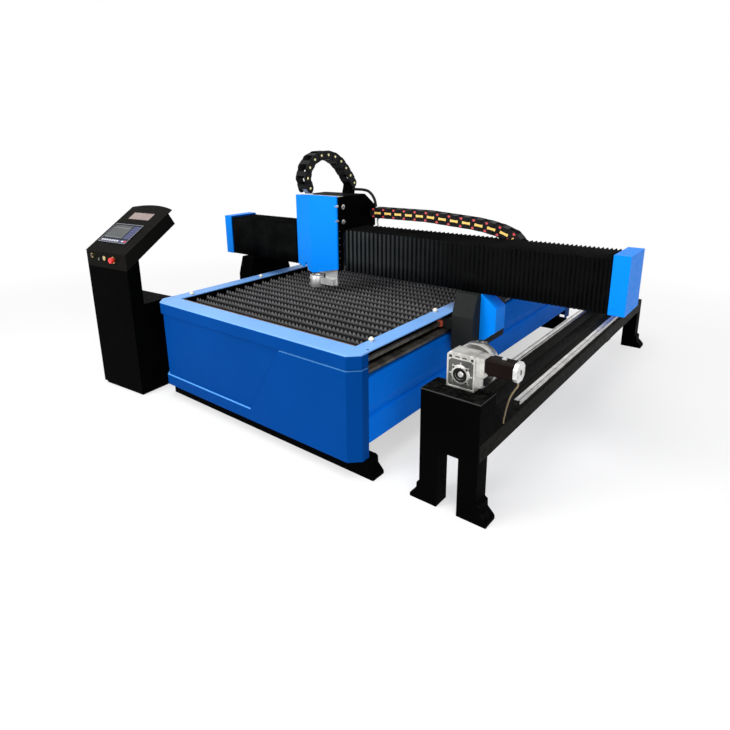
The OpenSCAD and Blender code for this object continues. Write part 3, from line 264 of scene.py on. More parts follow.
def effect_group(name, **inputs):
    """Empty group with the inputs named for each kind of socket, giving colour, roughness and height."""
    group = bpy.data.node_groups.new(name, "ShaderNodeTree")
    for kind, labels in inputs.items():
        for label in labels:
            group.interface.new_socket(label, in_out="INPUT", socket_type="NodeSocket" + kind)
    for label, kind in (("Colour", "Color"), ("Roughness", "Float"), ("Height", "Float")):
        group.interface.new_socket(label, in_out="OUTPUT", socket_type="NodeSocket" + kind)
    return group, add(group, "NodeGroupInput").outputs, add(group, "NodeGroupOutput").inputs


def paint_group(name):
    """Sprayed paint: slight cloudiness in its colour and gloss, dust and a painted sheen on level faces, and
    orange peel.
    """
    group, given, result = effect_group(name, Color=["Colour"], Float=["Gloss", "Cloud", "Dust and sheen"])
    clouds = noise(group, 2.3, 5.0)
    scuffs = noise(group, 38.0, 6.0)
    peel = noise(group, 520.0, 2.0)
    darker = maths(group, "SUBTRACT", 1.0, given["Cloud"])
    lighter = maths(group, "ADD", 1.0, given["Cloud"])
    cloudy = shaded(group, given["Colour"], spread(group, clouds, 0.3, 0.7, darker, lighter))
    # Level faces go paler grey in patches: partly dust, partly a painted sheen of light from above
    flat = spread(group, axes(group, NORMAL)["Z"], 0.6, 1.0, 0.0, 1.0)
    patchy = spread(group, scuffs, 0.42, 0.72, 0.0, 1.0)
    dust_and_sheen_share = maths(group, "MULTIPLY", maths(group, "MULTIPLY", flat, patchy), given["Dust and sheen"])
    feed(group, mix_colour(group, dust_and_sheen_share, cloudy, DUST_AND_SHEEN), result["Colour"])
    worn = spread(group, scuffs, 0.35, 0.7, -0.06, 0.10)
    feed(group, maths(group, "ADD", given["Gloss"], worn, clamp=True), result["Roughness"])
    feed(group, peel, result["Height"])
    return group


def metal_group(name):
    """Bare metal: fine drawn lines along one axis, with stains."""
    group, given, result = effect_group(
        name, Color=["Bright", "Stain"], Vector=["Stretch"], Float=["Stained", "Gloss"])
    stretched = add(group, "ShaderNodeVectorMath", operation="MULTIPLY")
    feed(group, vector(group), stretched.inputs[0])
    feed(group, given["Stretch"], stretched.inputs[1])
    lines = noise(group, 260.0, 3.0, stretched.outputs[0])
    stains = spread(group, noise(group, 14.0, 6.0), 0.42, 0.66, 0.0, 1.0)
    amount = maths(group, "MULTIPLY", stains, given["Stained"], clamp=True)
    dirty = mix_colour(group, amount, given["Bright"], given["Stain"])
    grain = spread(group, lines, 0.3, 0.7, 0.82, 1.12)
    feed(group, shaded(group, dirty, grain), result["Colour"])
    feed(group, maths(group, "MULTIPLY_ADD", lines, 0.2, given["Gloss"], clamp=True), result["Roughness"])
    feed(group, lines, result["Height"])
    return group


def plastic_group(name):
    """Moulded plastic, rubber or coated cloth: a fine grain and uneven sheen."""
    group, given, result = effect_group(name, Color=["Colour"], Float=["Gloss", "Scale", "Fade"])
    patches = noise(group, 9.0, 4.0)
    pale = spread(group, patches, 0.35, 0.7, 0.0, given["Fade"])
    feed(group, mix_colour(group, pale, given["Colour"], FADED_PLASTIC), result["Colour"])
    feed(group, maths(group, "MULTIPLY_ADD", patches, 0.18, given["Gloss"], clamp=True), result["Roughness"])
    feed(group, noise(group, given["Scale"], 2.0), result["Height"])
    return group


# Materials

def finish_material(name, effect, build, values, bump, metallic=0.0, specular=0.5):
    """Material whose colour, roughness and fine relief come from one of the shared groups."""
    material = bpy.data.materials.new(name)
    material.use_nodes = True
    tree = material.node_tree
    shader = tree.nodes["Principled BSDF"]
    group = add(tree, "ShaderNodeGroup", node_tree=bpy.data.node_groups.get(effect) or build(effect))
    set_inputs(group, values)
    relief = add(tree, "ShaderNodeBump")
    set_inputs(relief, {"Strength": bump, "Distance": 0.6 * MM})
    feed(tree, group.outputs["Height"], relief.inputs["Height"])
    feed(tree, relief.outputs["Normal"], shader.inputs["Normal"])
    feed(tree, group.outputs["Colour"], shader.inputs["Base Color"])
    feed(tree, group.outputs["Roughness"], shader.inputs["Roughness"])
    set_inputs(shader, {"Metallic": metallic, "Specular IOR Level": specular})
    material.diffuse_color = values.get("Colour") or values["Bright"]
    return material


def paint(name, base, gloss, cloud, dust_and_sheen, specular):
    values = {"Colour": (*base, 1), "Gloss": gloss, "Cloud": cloud, "Dust and sheen": dust_and_sheen}
    return finish_material(name, "Sprayed paint", paint_group, values, 0.10, specular=specular)


def metal(name, bright, stain, stretch, stained, gloss, bump=0.2, metallic=1.0):
    values = {
        "Bright": (*bright, 1), "Stain": (*stain, 1), "Stretch": stretch, "Stained": stained, "Gloss": gloss}
    return finish_material(name, "Drawn metal", metal_group, values, bump, metallic=metallic)


def plastic(name, base, gloss, scale, fade, bump, specular=0.5):
    values = {"Colour": (*base, 1), "Gloss": gloss, "Scale": scale, "Fade": fade}
    return finish_material(name, "Moulded grain", plastic_group, values, bump, specular=specular)


def overlay(material, share, towards):
    """Mixes a share of another colour into a material's own."""
    tree = material.node_tree
    base = tree.nodes["Principled BSDF"].inputs["Base Color"]
    own = base.links[0].from_socket
    feed(tree, mix_colour(tree, share, own, towards), base)
    return material


def edge_highlight_paint(name, base, highlight, edge):
    """Satin paint with a painted highlight: a pale band along a level edge at a given height."""
    material = paint(name, base, 0.48, 0.25, 0.022, 0.004)
    tree = material.node_tree
    # Pale band from a little below the edge upward, on faces that are not level: the painted highlight of the
    # rounded edge
    band = spread(tree, axes(tree)["Z"], edge - 7 * MM, edge - 4 * MM, 0.0, 1.0)
    upright = spread(tree, axes(tree, NORMAL)["Z"], 0.95, 0.7, 0.0, 1.0)
    return overlay(material, maths(tree, "MULTIPLY", band, upright, clamp=True), highlight)


def dashed_highlight(material, period):
    """Darkens a material in level bands, which breaks a painted highlight into dashes."""
    tree = material.node_tree
    bands = add(tree, "ShaderNodeTexWave", bands_direction="Z")
    feed(tree, vector(tree), bands.inputs["Vector"])
    set_inputs(bands, {"Scale": math.pi / (10 * period), "Distortion": 1.2})
    share = spread(tree, bands.outputs["Fac"], 0.0, 1.0, 0.75, 0.0)
    return overlay(material, share, (0.006, 0.007, 0.008))


def graded(material, axis, begin, end, towards, source=OWN_PLACE):
    """Lets a material's colour go over into another one along an axis of the source's vector."""
    tree = material.node_tree
    return overlay(material, spread(tree, axes(tree, source)[axis], begin, end, 0.0, 1.0), towards)


def banded_metal(name, bright, dark, stretch, centres):
    """Ground rails with bright shoulders and a dark middle about two centre lines: a painted reflection of
    dark things on the ground tops.
    """
    material = metal(name, bright, dark, stretch, 0.3, 0.18)
    tree = material.node_tree
    across = axes(tree)["X"]
    reaches = [maths(tree, "ABSOLUTE", maths(tree, "SUBTRACT", across, centre)) for centre in centres]
    # Darker towards each centre line: the painted reflection
    dark_reflection_share = spread(tree, maths(tree, "MINIMUM", *reaches), 3.5 * MM, 6 * MM, 0.6, 0.0)
    return overlay(material, dark_reflection_share, dark)


# Every finish by name, filled in by the finishes operator
FINISH = {}


# Mesh helpers

def mesh_piece(name, bm, finish, body=None, smooth=35):
    """Turns a bmesh into a piece of the object that rides on a body; smooth is an angle in degrees."""
    bmesh.ops.recalc_face_normals(bm, faces=bm.faces)
    mesh = bpy.data.meshes.new(name)
    bm.to_mesh(mesh)
    bm.free()
    piece = bpy.data.objects.new(name, mesh)
    bpy.context.scene.collection.objects.link(piece)
    mesh.materials.append(FINISH[finish])
    mesh.shade_smooth()
    mesh.set_sharp_from_angle(angle=math.radians(smooth))
    if body:
        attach(piece, body)
    return piece


def off(at, x, y, z):
    """Point some millimetres away from another."""
    return Vector(at) + Vector((x, y, z)) * MM


def aimed(axis, at):
    """Matrix at a point, with +Z along an axis."""
    turn = UP.rotation_difference(Vector(axis)).to_matrix().to_4x4()
    return Matrix.Translation(Vector(at)) @ turn


def facing(axis, at):
    """Frame in millimetres at a point, with +Z along an axis."""
    return aimed(axis, at) @ Matrix.Scale(MM, 4)


def moved(place, x=0, y=0, z=0):
    """Frame moved along its own axes."""
    return place @ Matrix.Translation((x, y, z))


def turned(place, degrees, axis="Z"):
    """Frame turned about one of its own axes."""
    return place @ Matrix.Rotation(math.radians(degrees), 4, axis)


def corners(bm, place, outline, height):
    return [bm.verts.new(place @ Vector((x, y, height))) for x, y in outline]


def skin(bm, layers):
    """Faces from each ring of corners to the next."""
    for near, far in zip(layers, layers[1:]):
        for step in range(len(near)):
            after = (step + 1) % len(near)
            bm.faces.new((near[step], near[after], far[after], far[step]))


def lathe(bm, place, profile, segments=24, closed=True):
    """Turned form: rings of radius and height about a frame's +Z. A radius may depend on the angle."""
    angles = [2 * math.pi * step / segments for step in range(segments)]
    rings = []
    for radius, height in profile:
        reaches = [radius(angle) if callable(radius) else radius for angle in angles]
        outline = [
            (reach * math.cos(angle), reach * math.sin(angle)) for reach, angle in zip(reaches, angles)]
        rings.append(corners(bm, place, outline, height))
    skin(bm, rings)
    if closed:
        bm.faces.new(rings[0])
        bm.faces.new(rings[-1])


def prism(bm, outline, place, depth):
    """Flat outline drawn out along a frame's +Z."""
    layers = [corners(bm, place, outline, height) for height in (0, depth)]
    skin(bm, layers)
    for layer in layers:
        bm.faces.new(layer)


def ring(bm, outer, inner, place, depth):
    """Flat ring between two outlines of as many points, drawn out along a frame's +Z."""
    sides = ((outer, 0), (outer, depth), (inner, depth), (inner, 0))
    layers = [corners(bm, place, line, height) for line, height in sides]
    skin(bm, layers + layers[:1])


def hexagon(flat):
    """Radius of a hexagon at an angle, given half of its width across flats."""
    def reach(angle):
        off_middle = (angle + math.pi / 6) % (math.pi / 3) - math.pi / 6
        return flat / math.cos(off_middle)
    return reach


def screw_head(bm, place, radius, height):
    """Socket head: a turned head with a chamfer and a hexagonal recess."""
    recess = hexagon(radius * 0.5)
    lathe(bm, place, [
        (radius * 0.98, -0.2), (radius, height * 0.15), (radius, height * 0.8),
        (radius * 0.88, height), (recess, height), (recess, height * 0.35)])


def box(bm, at, first, last, bevel):
    """Block with rounded edges between two corners, in millimetres from a point."""
    a, b = off(at, *first), off(at, *last)
    made = bmesh.ops.create_cube(bm, size=1.0)["verts"]
    for vert in made:
        vert.co = Vector((a[i] + (vert.co[i] + 0.5) * (b[i] - a[i]) for i in range(3)))
    edges = list(dict.fromkeys(edge for vert in made for edge in vert.link_edges))
    bmesh.ops.bevel(bm, geom=edges, offset=bevel * MM, segments=2, affect="EDGES", profile=0.7)


def oval(length, width, segments=20):
    """Outline of a bar with round ends, lying along X about its middle."""
    points = []
    straight = (length - width) / 2
    for step in range(segments):
        angle = 2 * math.pi * step / segments - math.pi / 2
        side = straight if math.cos(angle) >= 0 else -straight
        points.append((side + width / 2 * math.cos(angle), width / 2 * math.sin(angle)))
    return points


def inset(edges, by):
    """Left, bottom, right and top edges drawn in on every side."""
    left, bottom, right, top = edges
    return left + by, bottom + by, right - by, top - by


def rectangle(left, bottom, right, top):
    return [(left, bottom), (right, bottom), (right, top), (left, top)]


def cut_rectangle(left, bottom, right, top, cut):
    """Rectangle with its four corners cut off."""
    return [(left + cut, bottom), (right - cut, bottom), (right, bottom + cut), (right, top - cut),
            (right - cut, top), (left + cut, top), (left, top - cut), (left, bottom + cut)]


def border(bm, edges, width, place, depth):
    """Rectangular frame inside the given edges."""
    ring(bm, rectangle(*edges), rectangle(*inset(edges, width)), place, depth)


# The stage

def seen_rays(tree):
    """One where a ray comes from the camera, a mirror or glass, and nought where it brings light."""
    ray = add(tree, "ShaderNodeLightPath").outputs
    direct = maths(tree, "MAXIMUM", ray["Is Camera Ray"], ray["Is Glossy Ray"])
    return maths(tree, "MAXIMUM", direct, ray["Is Transmission Ray"])


def mix_shaders(tree, share, lit, seen, output):
    """Gives rays that bring light one shader, and the share of seen rays the other."""
    both = add(tree, "ShaderNodeMixShader")
    for value, socket in zip((share, lit.outputs[0], seen.outputs[0]), both.inputs):
        feed(tree, value, socket)
    feed(tree, both.outputs[0], tree.nodes[output].inputs["Surface"])


class PLASMA_OT_stage(bpy.types.Operator):
    """Floor, light and the camera at the photograph's viewing angle"""
    bl_idname = "plasma.stage"
    bl_label = "Stage"

    def execute(self, context):
        settings = context.scene.plasma_stage
        scene = context.scene
        scene.view_settings.view_transform = "Standard"
        self.floor()
        self.world(scene)
        self.lamp("Main light", (0.6, -1.4, 5.6), (0.2, 0.9, 0.5), 5.0, settings.key_power)
        self.lamp("Front light", (-2.0, -4.8, 2.9), (0.2, 0.8, 1.0), 2.8, settings.front_power)
        self.lamp("Side light", (4.8, -3.2, 2.4), (0.6, 0.6, 0.6), 2.2, settings.fill_power)
        self.camera(scene, settings)
        return {"FINISHED"}

    @staticmethod
    def floor():
        """Pale floor that keeps the object's shadow and goes over into white further away."""
        bm = bmesh.new()
        bmesh.ops.create_grid(bm, x_segments=2, y_segments=2, size=30.0)
        mesh = bpy.data.meshes.new("Floor")
        bm.to_mesh(mesh)
        bm.free()
        floor = bpy.data.objects.new("Floor", mesh)
        bpy.context.scene.collection.objects.link(floor)
        floor.location.z = -0.5 * MM
        material = bpy.data.materials.new("Pale floor")
        material.use_nodes = True
        tree = material.node_tree
        shader = tree.nodes["Principled BSDF"]
        set_inputs(shader, {"Base Color": (0.93, 0.93, 0.93, 1), "Roughness": 0.9, "Specular IOR Level": 0.1})
        glow = add(tree, "ShaderNodeEmission")
        set_inputs(glow, {"Strength": 1.0})
        away = add(tree, "ShaderNodeVectorMath", operation="LENGTH")
        feed(tree, vector(tree), away.inputs[0])
        white = spread(tree, away.outputs["Value"], 2.2, 6.0, 0.55, 1.0)
        share = maths(tree, "MULTIPLY", seen_rays(tree), white)
        mix_shaders(tree, share, shader, glow, "Material Output")
        mesh.materials.append(material)

    @staticmethod
    def world(scene):
        world = bpy.data.worlds.new("White studio")
        world.use_nodes = True
        scene.world = world
        tree = world.node_tree
        soft = tree.nodes["Background"]
        white = add(tree, "ShaderNodeBackground")
        for background, strength in ((soft, 0.45), (white, 1.0)):
            set_inputs(background, {"Color": (1, 1, 1, 1), "Strength": strength})
        mix_shaders(tree, seen_rays(tree), soft, white, "World Output")

    @staticmethod
    def lamp(name, at, towards, size, power):
        light = bpy.data.lights.new(name, "AREA")
        light.shape = "DISK"
        light.size = size
        light.energy = power
        lamp = bpy.data.objects.new(name, light)
        bpy.context.scene.collection.objects.link(lamp)
        lamp.matrix_world = aimed(Vector(at) - Vector(towards), at)

    @staticmethod
    def camera(scene, settings):
        yaw, pitch, roll = settings.yaw, settings.pitch, settings.roll
        ahead = Vector((-math.sin(yaw) * math.cos(pitch), math.cos(yaw) * math.cos(pitch), -math.sin(pitch)))
        right = Vector((math.cos(yaw), math.sin(yaw), 0))
        up = right.cross(ahead)
        across = math.cos(roll) * right + math.sin(roll) * up
        upward = -math.sin(roll) * right + math.cos(roll) * up
        data = bpy.data.cameras.new("Photograph view")
        data.sensor_width = 36.0
        data.lens = settings.lens
        data.shift_x = settings.shift_x
        data.shift_y = settings.shift_y
        data.clip_end = 100.0
        camera = bpy.data.objects.new("Photograph view", data)
        scene.collection.objects.link(camera)
        turn = Matrix((across, upward, -ahead)).transposed().to_4x4()
        camera.matrix_world = Matrix.Translation(Vector(settings.eye)) @ turn
        scene.camera = camera


# Finishes of the solids

NODE_FINISH = {
    "blue": ["end_caps", "drive_cover", "carriage_cover", "gantry_beam"],
    "side": ["side_panels", "support_carriage"],
    "apron": ["front_apron", "rear_apron"],
    "upright": ["right_upright"],
    "beam": ["rotary_beams"],
    "rim": ["top_rim"],
    "stand": ["rotary_stands"],
    "black": ["bed_frame", "base_skids", "left_upright", "chain_tray", "carriage_housing", "chain_brackets",
              "console_cabinet"],
    "motor": ["rotary_motor", "y_motor", "carriage_motors"],
    "slat": ["slats", "slat_supports"],
    "tray": ["slag_tray"],
    "guide_y": ["y_guides", "y_blocks"],
    "rail": ["rotary_rails"],
    "guide_x": ["x_guides", "carriage_guides", "carriage_plate"],
    "turned": ["spindle", "chuck_body", "support_roller_left", "support_roller_right", "y_pinion", "x_pinion",
               "z_screw"],
    "jaw": ["jaw_a", "jaw_b", "jaw_c"],
    "cast": ["motor_caps", "torch_clamp", "torch_slide"],
    "gearbox": ["gearbox_housing"],
    "knob": ["rim_knobs"],
    "console_top": ["console_head"],
    "bezel": ["panel_bezel"],
    "screen": ["panel_screen"],
    "membrane": ["panel_keys"],
    "brass": ["control_bezels"],
    "button": ["push_button"],
    "chrome": ["key"],
    "red": ["stop_button"],
}

# Nodes whose folded or machined edges are rounded a little
ROUNDED = [
    "front_apron", "rear_apron", "side_panels", "top_rim", "end_caps", "drive_cover", "carriage_cover",
    "right_upright", "left_upright", "rotary_stands", "rotary_beams", "base_skids", "console_cabinet",
    "console_head", "carriage_housing", "gearbox_housing", "motor_caps", "rotary_motor", "torch_clamp",
    "torch_slide", "panel_bezel", "stop_button", "push_button", "chuck_body", "support_carriage",
]

# Directions in which a metal is drawn, as the noise's stretch along each axis
DRAWN_X = (0.02, 1.0, 1.0)
DRAWN_Y = (1.0, 0.02, 1.0)
EVEN = (1.0, 1.0, 1.0)
OIL = (0.10, 0.085, 0.07)


def paints(colours):
    """Paints: colour, gloss, cloudiness, dust and painted sheen on level faces, and specular level."""
    edge = high("rotary_stands").z
    return {
        "blue": paint("Cover blue paint", colours.blue, 0.42, 0.04, 0.01, 0.06),
        "side": paint("Side blue paint", colours.side, 0.45, 0.06, 0.01, 0.015),
        # Darker blue as painted shade on the end sheets, going over into pale blue on upward faces as a
        # painted highlight of their lit ledges
        "apron": graded(
            paint("Apron blue paint", colours.apron, 0.45, 0.06, 0.01, 0.012),
            "Z", 0.6, 0.95, (0.12, 0.42, 0.90), NORMAL),
        "beam": paint("Beam paint", (0.0036, 0.0033, 0.0025), 0.45, 0.3, 0.012, 0.012),
        "upright": paint("Upright paint", (0.016, 0.0175, 0.017), 0.45, 0.2, 0.01, 0.04),
        # Paler blue with more dust and sheen: a painted highlight on the lit top of the rim
        "rim": paint("Rim paint", colours.rim, 0.45, 0.06, 0.10, 0.3),
        "black": paint("Black paint", colours.black, 0.48, 0.25, 0.006, 0.004),
        # The stands' top edge carries a painted highlight
        "stand": edge_highlight_paint("Stand paint", colours.black, (0.042, 0.046, 0.042), edge),
        "motor": paint("Motor paint", (0.006, 0.0032, 0.0025), 0.36, 0.3, 0.02, 0.04),
        "console_top": paint("Console top", (0.0060, 0.0057, 0.0050), 0.45, 0.25, 0.010, 0.008),
        "bezel": paint("Panel frame", (0.016, 0.017, 0.021), 0.45, 0.2, 0.02, 0.06),
    }


def metals():
    """Metals: bright and stained colour, drawn direction, stains, gloss, relief and metallic share."""
    tips = high("slats").z
    rails = [low("rotary_rails").x + RAIL_HALF, high("rotary_rails").x - RAIL_HALF]
    return {
        # Slats go nearly black from 13 mm to 30 mm below their tips: painted shade deep between the slats
        "slat": graded(
            metal("Burnt slat steel", (0.17, 0.168, 0.17), (0.09, 0.08, 0.075), EVEN, 0.5, 0.5, 0.5, 0.3),
            "Z", tips - 13 * MM, tips - 30 * MM, (0.004, 0.004, 0.004)),
        "tray": metal("Tray steel", (0.035, 0.034, 0.034), (0.06, 0.04, 0.025), EVEN, 0.6, 0.6, 0.5, 0.3),
        "guide_y": metal(
            "Oiled rail steel", (0.17, 0.15, 0.125), (0.03, 0.026, 0.02), DRAWN_Y, 0.7, 0.3, metallic=0.6),
        # Dark middle of each rail top: a painted reflection
        "rail": banded_metal("Rotary rail steel", (0.70, 0.69, 0.67), (0.05, 0.046, 0.042), DRAWN_Y, rails),
        "guide_x": metal("Ground rail steel across", (0.60, 0.60, 0.60), OIL, DRAWN_X, 0.4, 0.2),
        "turned": metal("Turned steel", (0.62, 0.61, 0.59), OIL, EVEN, 0.3, 0.22),
        "jaw": metal("Jaw steel", (0.28, 0.28, 0.29), OIL, EVEN, 0.4, 0.34),
        "cast": metal("Cast aluminium", (0.78, 0.78, 0.77), (0.30, 0.30, 0.30), EVEN, 0.3, 0.34, 0.6, 0.85),
        "gearbox": metal(
            "Gearbox aluminium", (0.62, 0.615, 0.58), (0.16, 0.15, 0.135), EVEN, 0.6, 0.34, 0.7, 0.8),
        # Dark casting colour: painted shade of the gearbox face's recess
        "recess_shade": metal("Shaded casting", (0.10, 0.10, 0.095), (0.02, 0.02, 0.02), EVEN, 0.7, 0.5, 0.9, 0.5),
        "brass": metal("Brass ring", (0.70, 0.50, 0.20), (0.25, 0.16, 0.06), EVEN, 0.25, 0.16),
        "chrome": metal("Key steel", (0.78, 0.78, 0.78), (0.3, 0.3, 0.3), EVEN, 0.15, 0.08),
        "screw": metal("Zinc screw", (0.66, 0.66, 0.65), (0.2, 0.18, 0.15), EVEN, 0.3, 0.22),
        "dark_screw": metal("Blackened screw", (0.05, 0.05, 0.05), (0.02, 0.02, 0.02), EVEN, 0.3, 0.3),
        "rust": metal("Rusty bar", (0.20, 0.12, 0.07), (0.09, 0.045, 0.025), EVEN, 0.8, 0.6, 0.6, 0.2),
        "pale_sheet": metal("Pale sheet", (0.50, 0.49, 0.46), (0.22, 0.20, 0.18), EVEN, 0.4, 0.4, 0.3, 0.4),
    }


def plastics(colours):
    """Plastics, rubber and cloth: colour, gloss, scale of the grain, fading, relief and specular level."""
    # Lighter copy of the bellows cloth: a painted highlight on the fold crests, broken into dashes and fading
    # out towards the far end
    crest_highlight = plastic("Bellows crest", (0.042, 0.049, 0.053), 0.5, 160.0, 0.03, 0.9, 0.06)
    return {
        "knob": plastic("Knob plastic", (0.72, 0.69, 0.60), 0.35, 600.0, 0.08, 0.1),
        "screen": plastic("Screen", (0.040, 0.044, 0.046), 0.18, 300.0, 0.06, 0.02, 0.2),
        "membrane": plastic("Membrane keys", (0.045, 0.052, 0.13), 0.4, 700.0, 0.06, 0.1, 0.2),
        "white_keys": plastic("Pale keys", (0.50, 0.50, 0.53), 0.4, 700.0, 0.1, 0.1, 0.2),
        "button": plastic("Button plastic", (0.012, 0.012, 0.012), 0.25, 600.0, 0.03, 0.1),
        "red": plastic("Stop red", (0.62, 0.012, 0.012), 0.22, 500.0, 0.02, 0.08),
        "bellows": plastic("Bellows cloth", colours.bellows, 0.5, 420.0, 0.008, 0.7, 0.015),
        "crest_highlight": graded(
            dashed_highlight(crest_highlight, 14 * MM), "X", CARRIAGE_RIGHT + 0.15, CARRIAGE_RIGHT + 0.85, colours.bellows),
        "chain": plastic("Chain plastic", (0.006, 0.006, 0.007), 0.42, 800.0, 0.015, 0.3, 0.08),
        "chain_bar": plastic("Chain bar", colours.bar, 0.4, 500.0, 0.05, 0.1),
        "chain_joint": plastic("Chain joint", colours.joint, 0.4, 500.0, 0.05, 0.1),
        "chain_dot": plastic("Chain dot", colours.dot, 0.4, 500.0, 0.05, 0.1),
        "rubber": plastic("Lead rubber", (0.006, 0.006, 0.006), 0.5, 900.0, 0.015, 0.3, 0.06),
        "tan_lead": plastic("Tan lead", (0.20, 0.145, 0.075), 0.5, 900.0, 0.06, 0.3),
        "orange": plastic("Switch plastic", (0.75, 0.10, 0.03), 0.4, 600.0, 0.05, 0.1),
        "pale_line": plastic("Pale line", (0.22, 0.22, 0.27), 0.4, 500.0, 0.1, 0.1, 0.2),
        "screen_edge": plastic("Screen edge", (0.12, 0.13, 0.14), 0.35, 500.0, 0.1, 0.1, 0.2),
        "plate": plastic("Bare plate", (0.24, 0.185, 0.175), 0.4, 500.0, 0.15, 0.1, 0.1),
    }


class PLASMA_OT_finishes(bpy.types.Operator):
    """Paint, metal and plastic finishes on every solid of the frame"""
    bl_idname = "plasma.finishes"
    bl_label = "Finishes"

    def execute(self, context):
        colours = context.scene.plasma_paint
        FINISH.update({**paints(colours), **metals(), **plastics(colours)})
        for finish, nodes in NODE_FINISH.items():
            for node in nodes:
                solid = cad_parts[node]
                solid.data.materials.clear()
                solid.data.materials.append(FINISH[finish])
        for node in ROUNDED:
            self.soften(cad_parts[node], context.scene.plasma_trim.edge_round)
        return {"FINISHED"}

    @staticmethod
    def soften(solid, width):
        weld = solid.modifiers.new("Joined edges", "WELD")
        weld.merge_threshold = 0.02 * MM
        bevel = solid.modifiers.new("Rounded edges", "BEVEL")
        bevel.width = width
        bevel.segments = 2
        bevel.limit_method = "ANGLE"
        bevel.angle_limit = math.radians(32)
        bevel.use_clamp_overlap = True
        bevel.harden_normals = True


# Bellows

# Strips of cloth on the front of a fold; the rest lie on its top and back
FRONT_STRIPS = 4
# Steps from one fold to the next, and how sharply the cloth is bent in front and on top
FOLD_STEPS = 8
FRONT_BEND = 0.8
TOP_BEND = 2.5


class PLASMA_OT_bellows(bpy.types.Operator):
    """Folded covers on both sides of the torch carriage"""
    bl_idname = "plasma.bellows"
    bl_label = "Bellows"

    def execute(self, context):
        trim = context.scene.plasma_trim
        for node, fixed_end, lean, crest_highlight in (
            ("left_bellows", "low", 0.0, "bellows"), ("right_bellows", "high", 0.27, "crest_highlight")
        ):
            piece = self.folded(node, trim, lean, crest_highlight)
            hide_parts(node)
            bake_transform(piece)
        return {"FINISHED"}

    @staticmethod
    def folded(node, trim, lean, crest_highlight):
        """Cloth folded from end to end; a lean draws the folds together towards the far end."""
        near, far = low(node), high(node)
        steps = FOLD_STEPS * round((far.x - near.x) / trim.pleat_pitch)
        clear, corner, back_fall = 0.4 * MM, 10 * MM, 34 * MM
        bm = bmesh.new()
        rows = []
        for step in range(steps + 1):
            share = step / steps
            x = near.x + (far.x - near.x) * (share + lean * share * (1 - share))
            wave = 1 - abs(2 * (step % FOLD_STEPS) / FOLD_STEPS - 1)
            front = near.y + trim.pleat_depth * (1 - wave ** FRONT_BEND) + clear
            top = far.z - trim.pleat_depth * (1 - wave ** TOP_BEND) - clear
            line = [(front, near.z + (top - near.z) * third / 3) for third in range(3)]
            line += [
                (front, top - corner), (front + corner * 0.3, top - corner * 0.3), (front + corner, top),
                (front + (far.y - front) / 2, top), (far.y, top), (far.y, top - back_fall)]
            rows.append([bm.verts.new((x, y, z)) for y, z in line])
        for step, (before, after) in enumerate(zip(rows, rows[1:])):
            # Crest strips on the front take the second finish, which on the right bellows is a painted
            # highlight
            on_crest = FOLD_STEPS // 4 <= step % FOLD_STEPS < 3 * FOLD_STEPS // 4
            for strip in range(len(before) - 1):
                cloth = bm.faces.new((before[strip], before[strip + 1], after[strip + 1], after[strip]))
                cloth.material_index = 1 if on_crest and strip < FRONT_STRIPS else 0
        piece = mesh_piece(node + "_folds", bm, "bellows", smooth=50)
        piece.data.materials.append(FINISH[crest_highlight])
        shell = piece.modifiers.new("Cloth thickness", "SOLIDIFY")
        shell.thickness = 1.6 * MM
        shell.offset = -1.0
        return piece


# Drag chains

def along_link(heading, ahead):
    """Direction of a link whose heading is given above a level direction."""
    angle = math.radians(heading)
    return math.cos(angle) * ahead + math.sin(angle) * UP


def pin_places(start, headings, pitch, ahead):
    """Pins of a chain from its first to its last."""
    pins = [start.copy()]
    for heading in headings:
        pins.append(pins[-1] + pitch * MM * along_link(heading, ahead))
    return pins


def link_frame(pin, heading, ahead):
    """Frame of one link in millimetres: X along the link, Y across the chain, Z to its outer side."""
    along = along_link(heading, ahead)
    across = UP.cross(ahead)
    turn = Matrix((along, across, along.cross(across))).transposed().to_4x4()
    return Matrix.Translation(pin) @ turn @ Matrix.Scale(MM, 4)


def side_face(place, width, side):
    """Frame on one side of a link, with +Z pointing outward."""
    return turned(moved(place, y=side * width / 2), -90 * side, "X")


def plate_outline(pitch, straight, at_far_pin):
    """Side plate of a link: round about its near or far pin, and cut straight at the other end."""
    r = LINK_ROUND * pitch
    centre, side = (pitch, -1) if at_far_pin else (0, 1)
    points = []
    for degrees in range(0, 181, 15):
        angle = math.radians(side * 90 + degrees)
        points.append((centre + r * math.cos(angle), r * math.sin(angle)))
    return points + [(straight, -side * r), (straight, side * r)]


def chain_link(bm, place, pitch, width):
    """One link: joggled side plates, a cross bar above and below, and its pin caps."""
    r = LINK_ROUND * pitch
    sheet, bar_t = 4, 5
    joggle = pitch - r - 3
    plates = (
        (width / 2, plate_outline(pitch, joggle, False)),
        (width / 2 - sheet - 0.3, plate_outline(pitch, joggle - 6, True)))
    for side in (-1, 1):
        for reach, outline in plates:
            near_face = reach if side > 0 else sheet - reach
            prism(bm, outline, turned(moved(place, y=near_face), 90, "X"), sheet)
        lathe(bm, side_face(place, width, side), [(6.5, -2), (6.5, 1.0), (5.2, 1.5)], 16)
    across = turned(moved(place, y=width / 2 - sheet), 90, "X")
    for z in (-r, r - bar_t):
        prism(bm, rectangle(joggle - 0.45 * pitch, z, joggle - 1, z + bar_t), across, width - 2 * sheet)


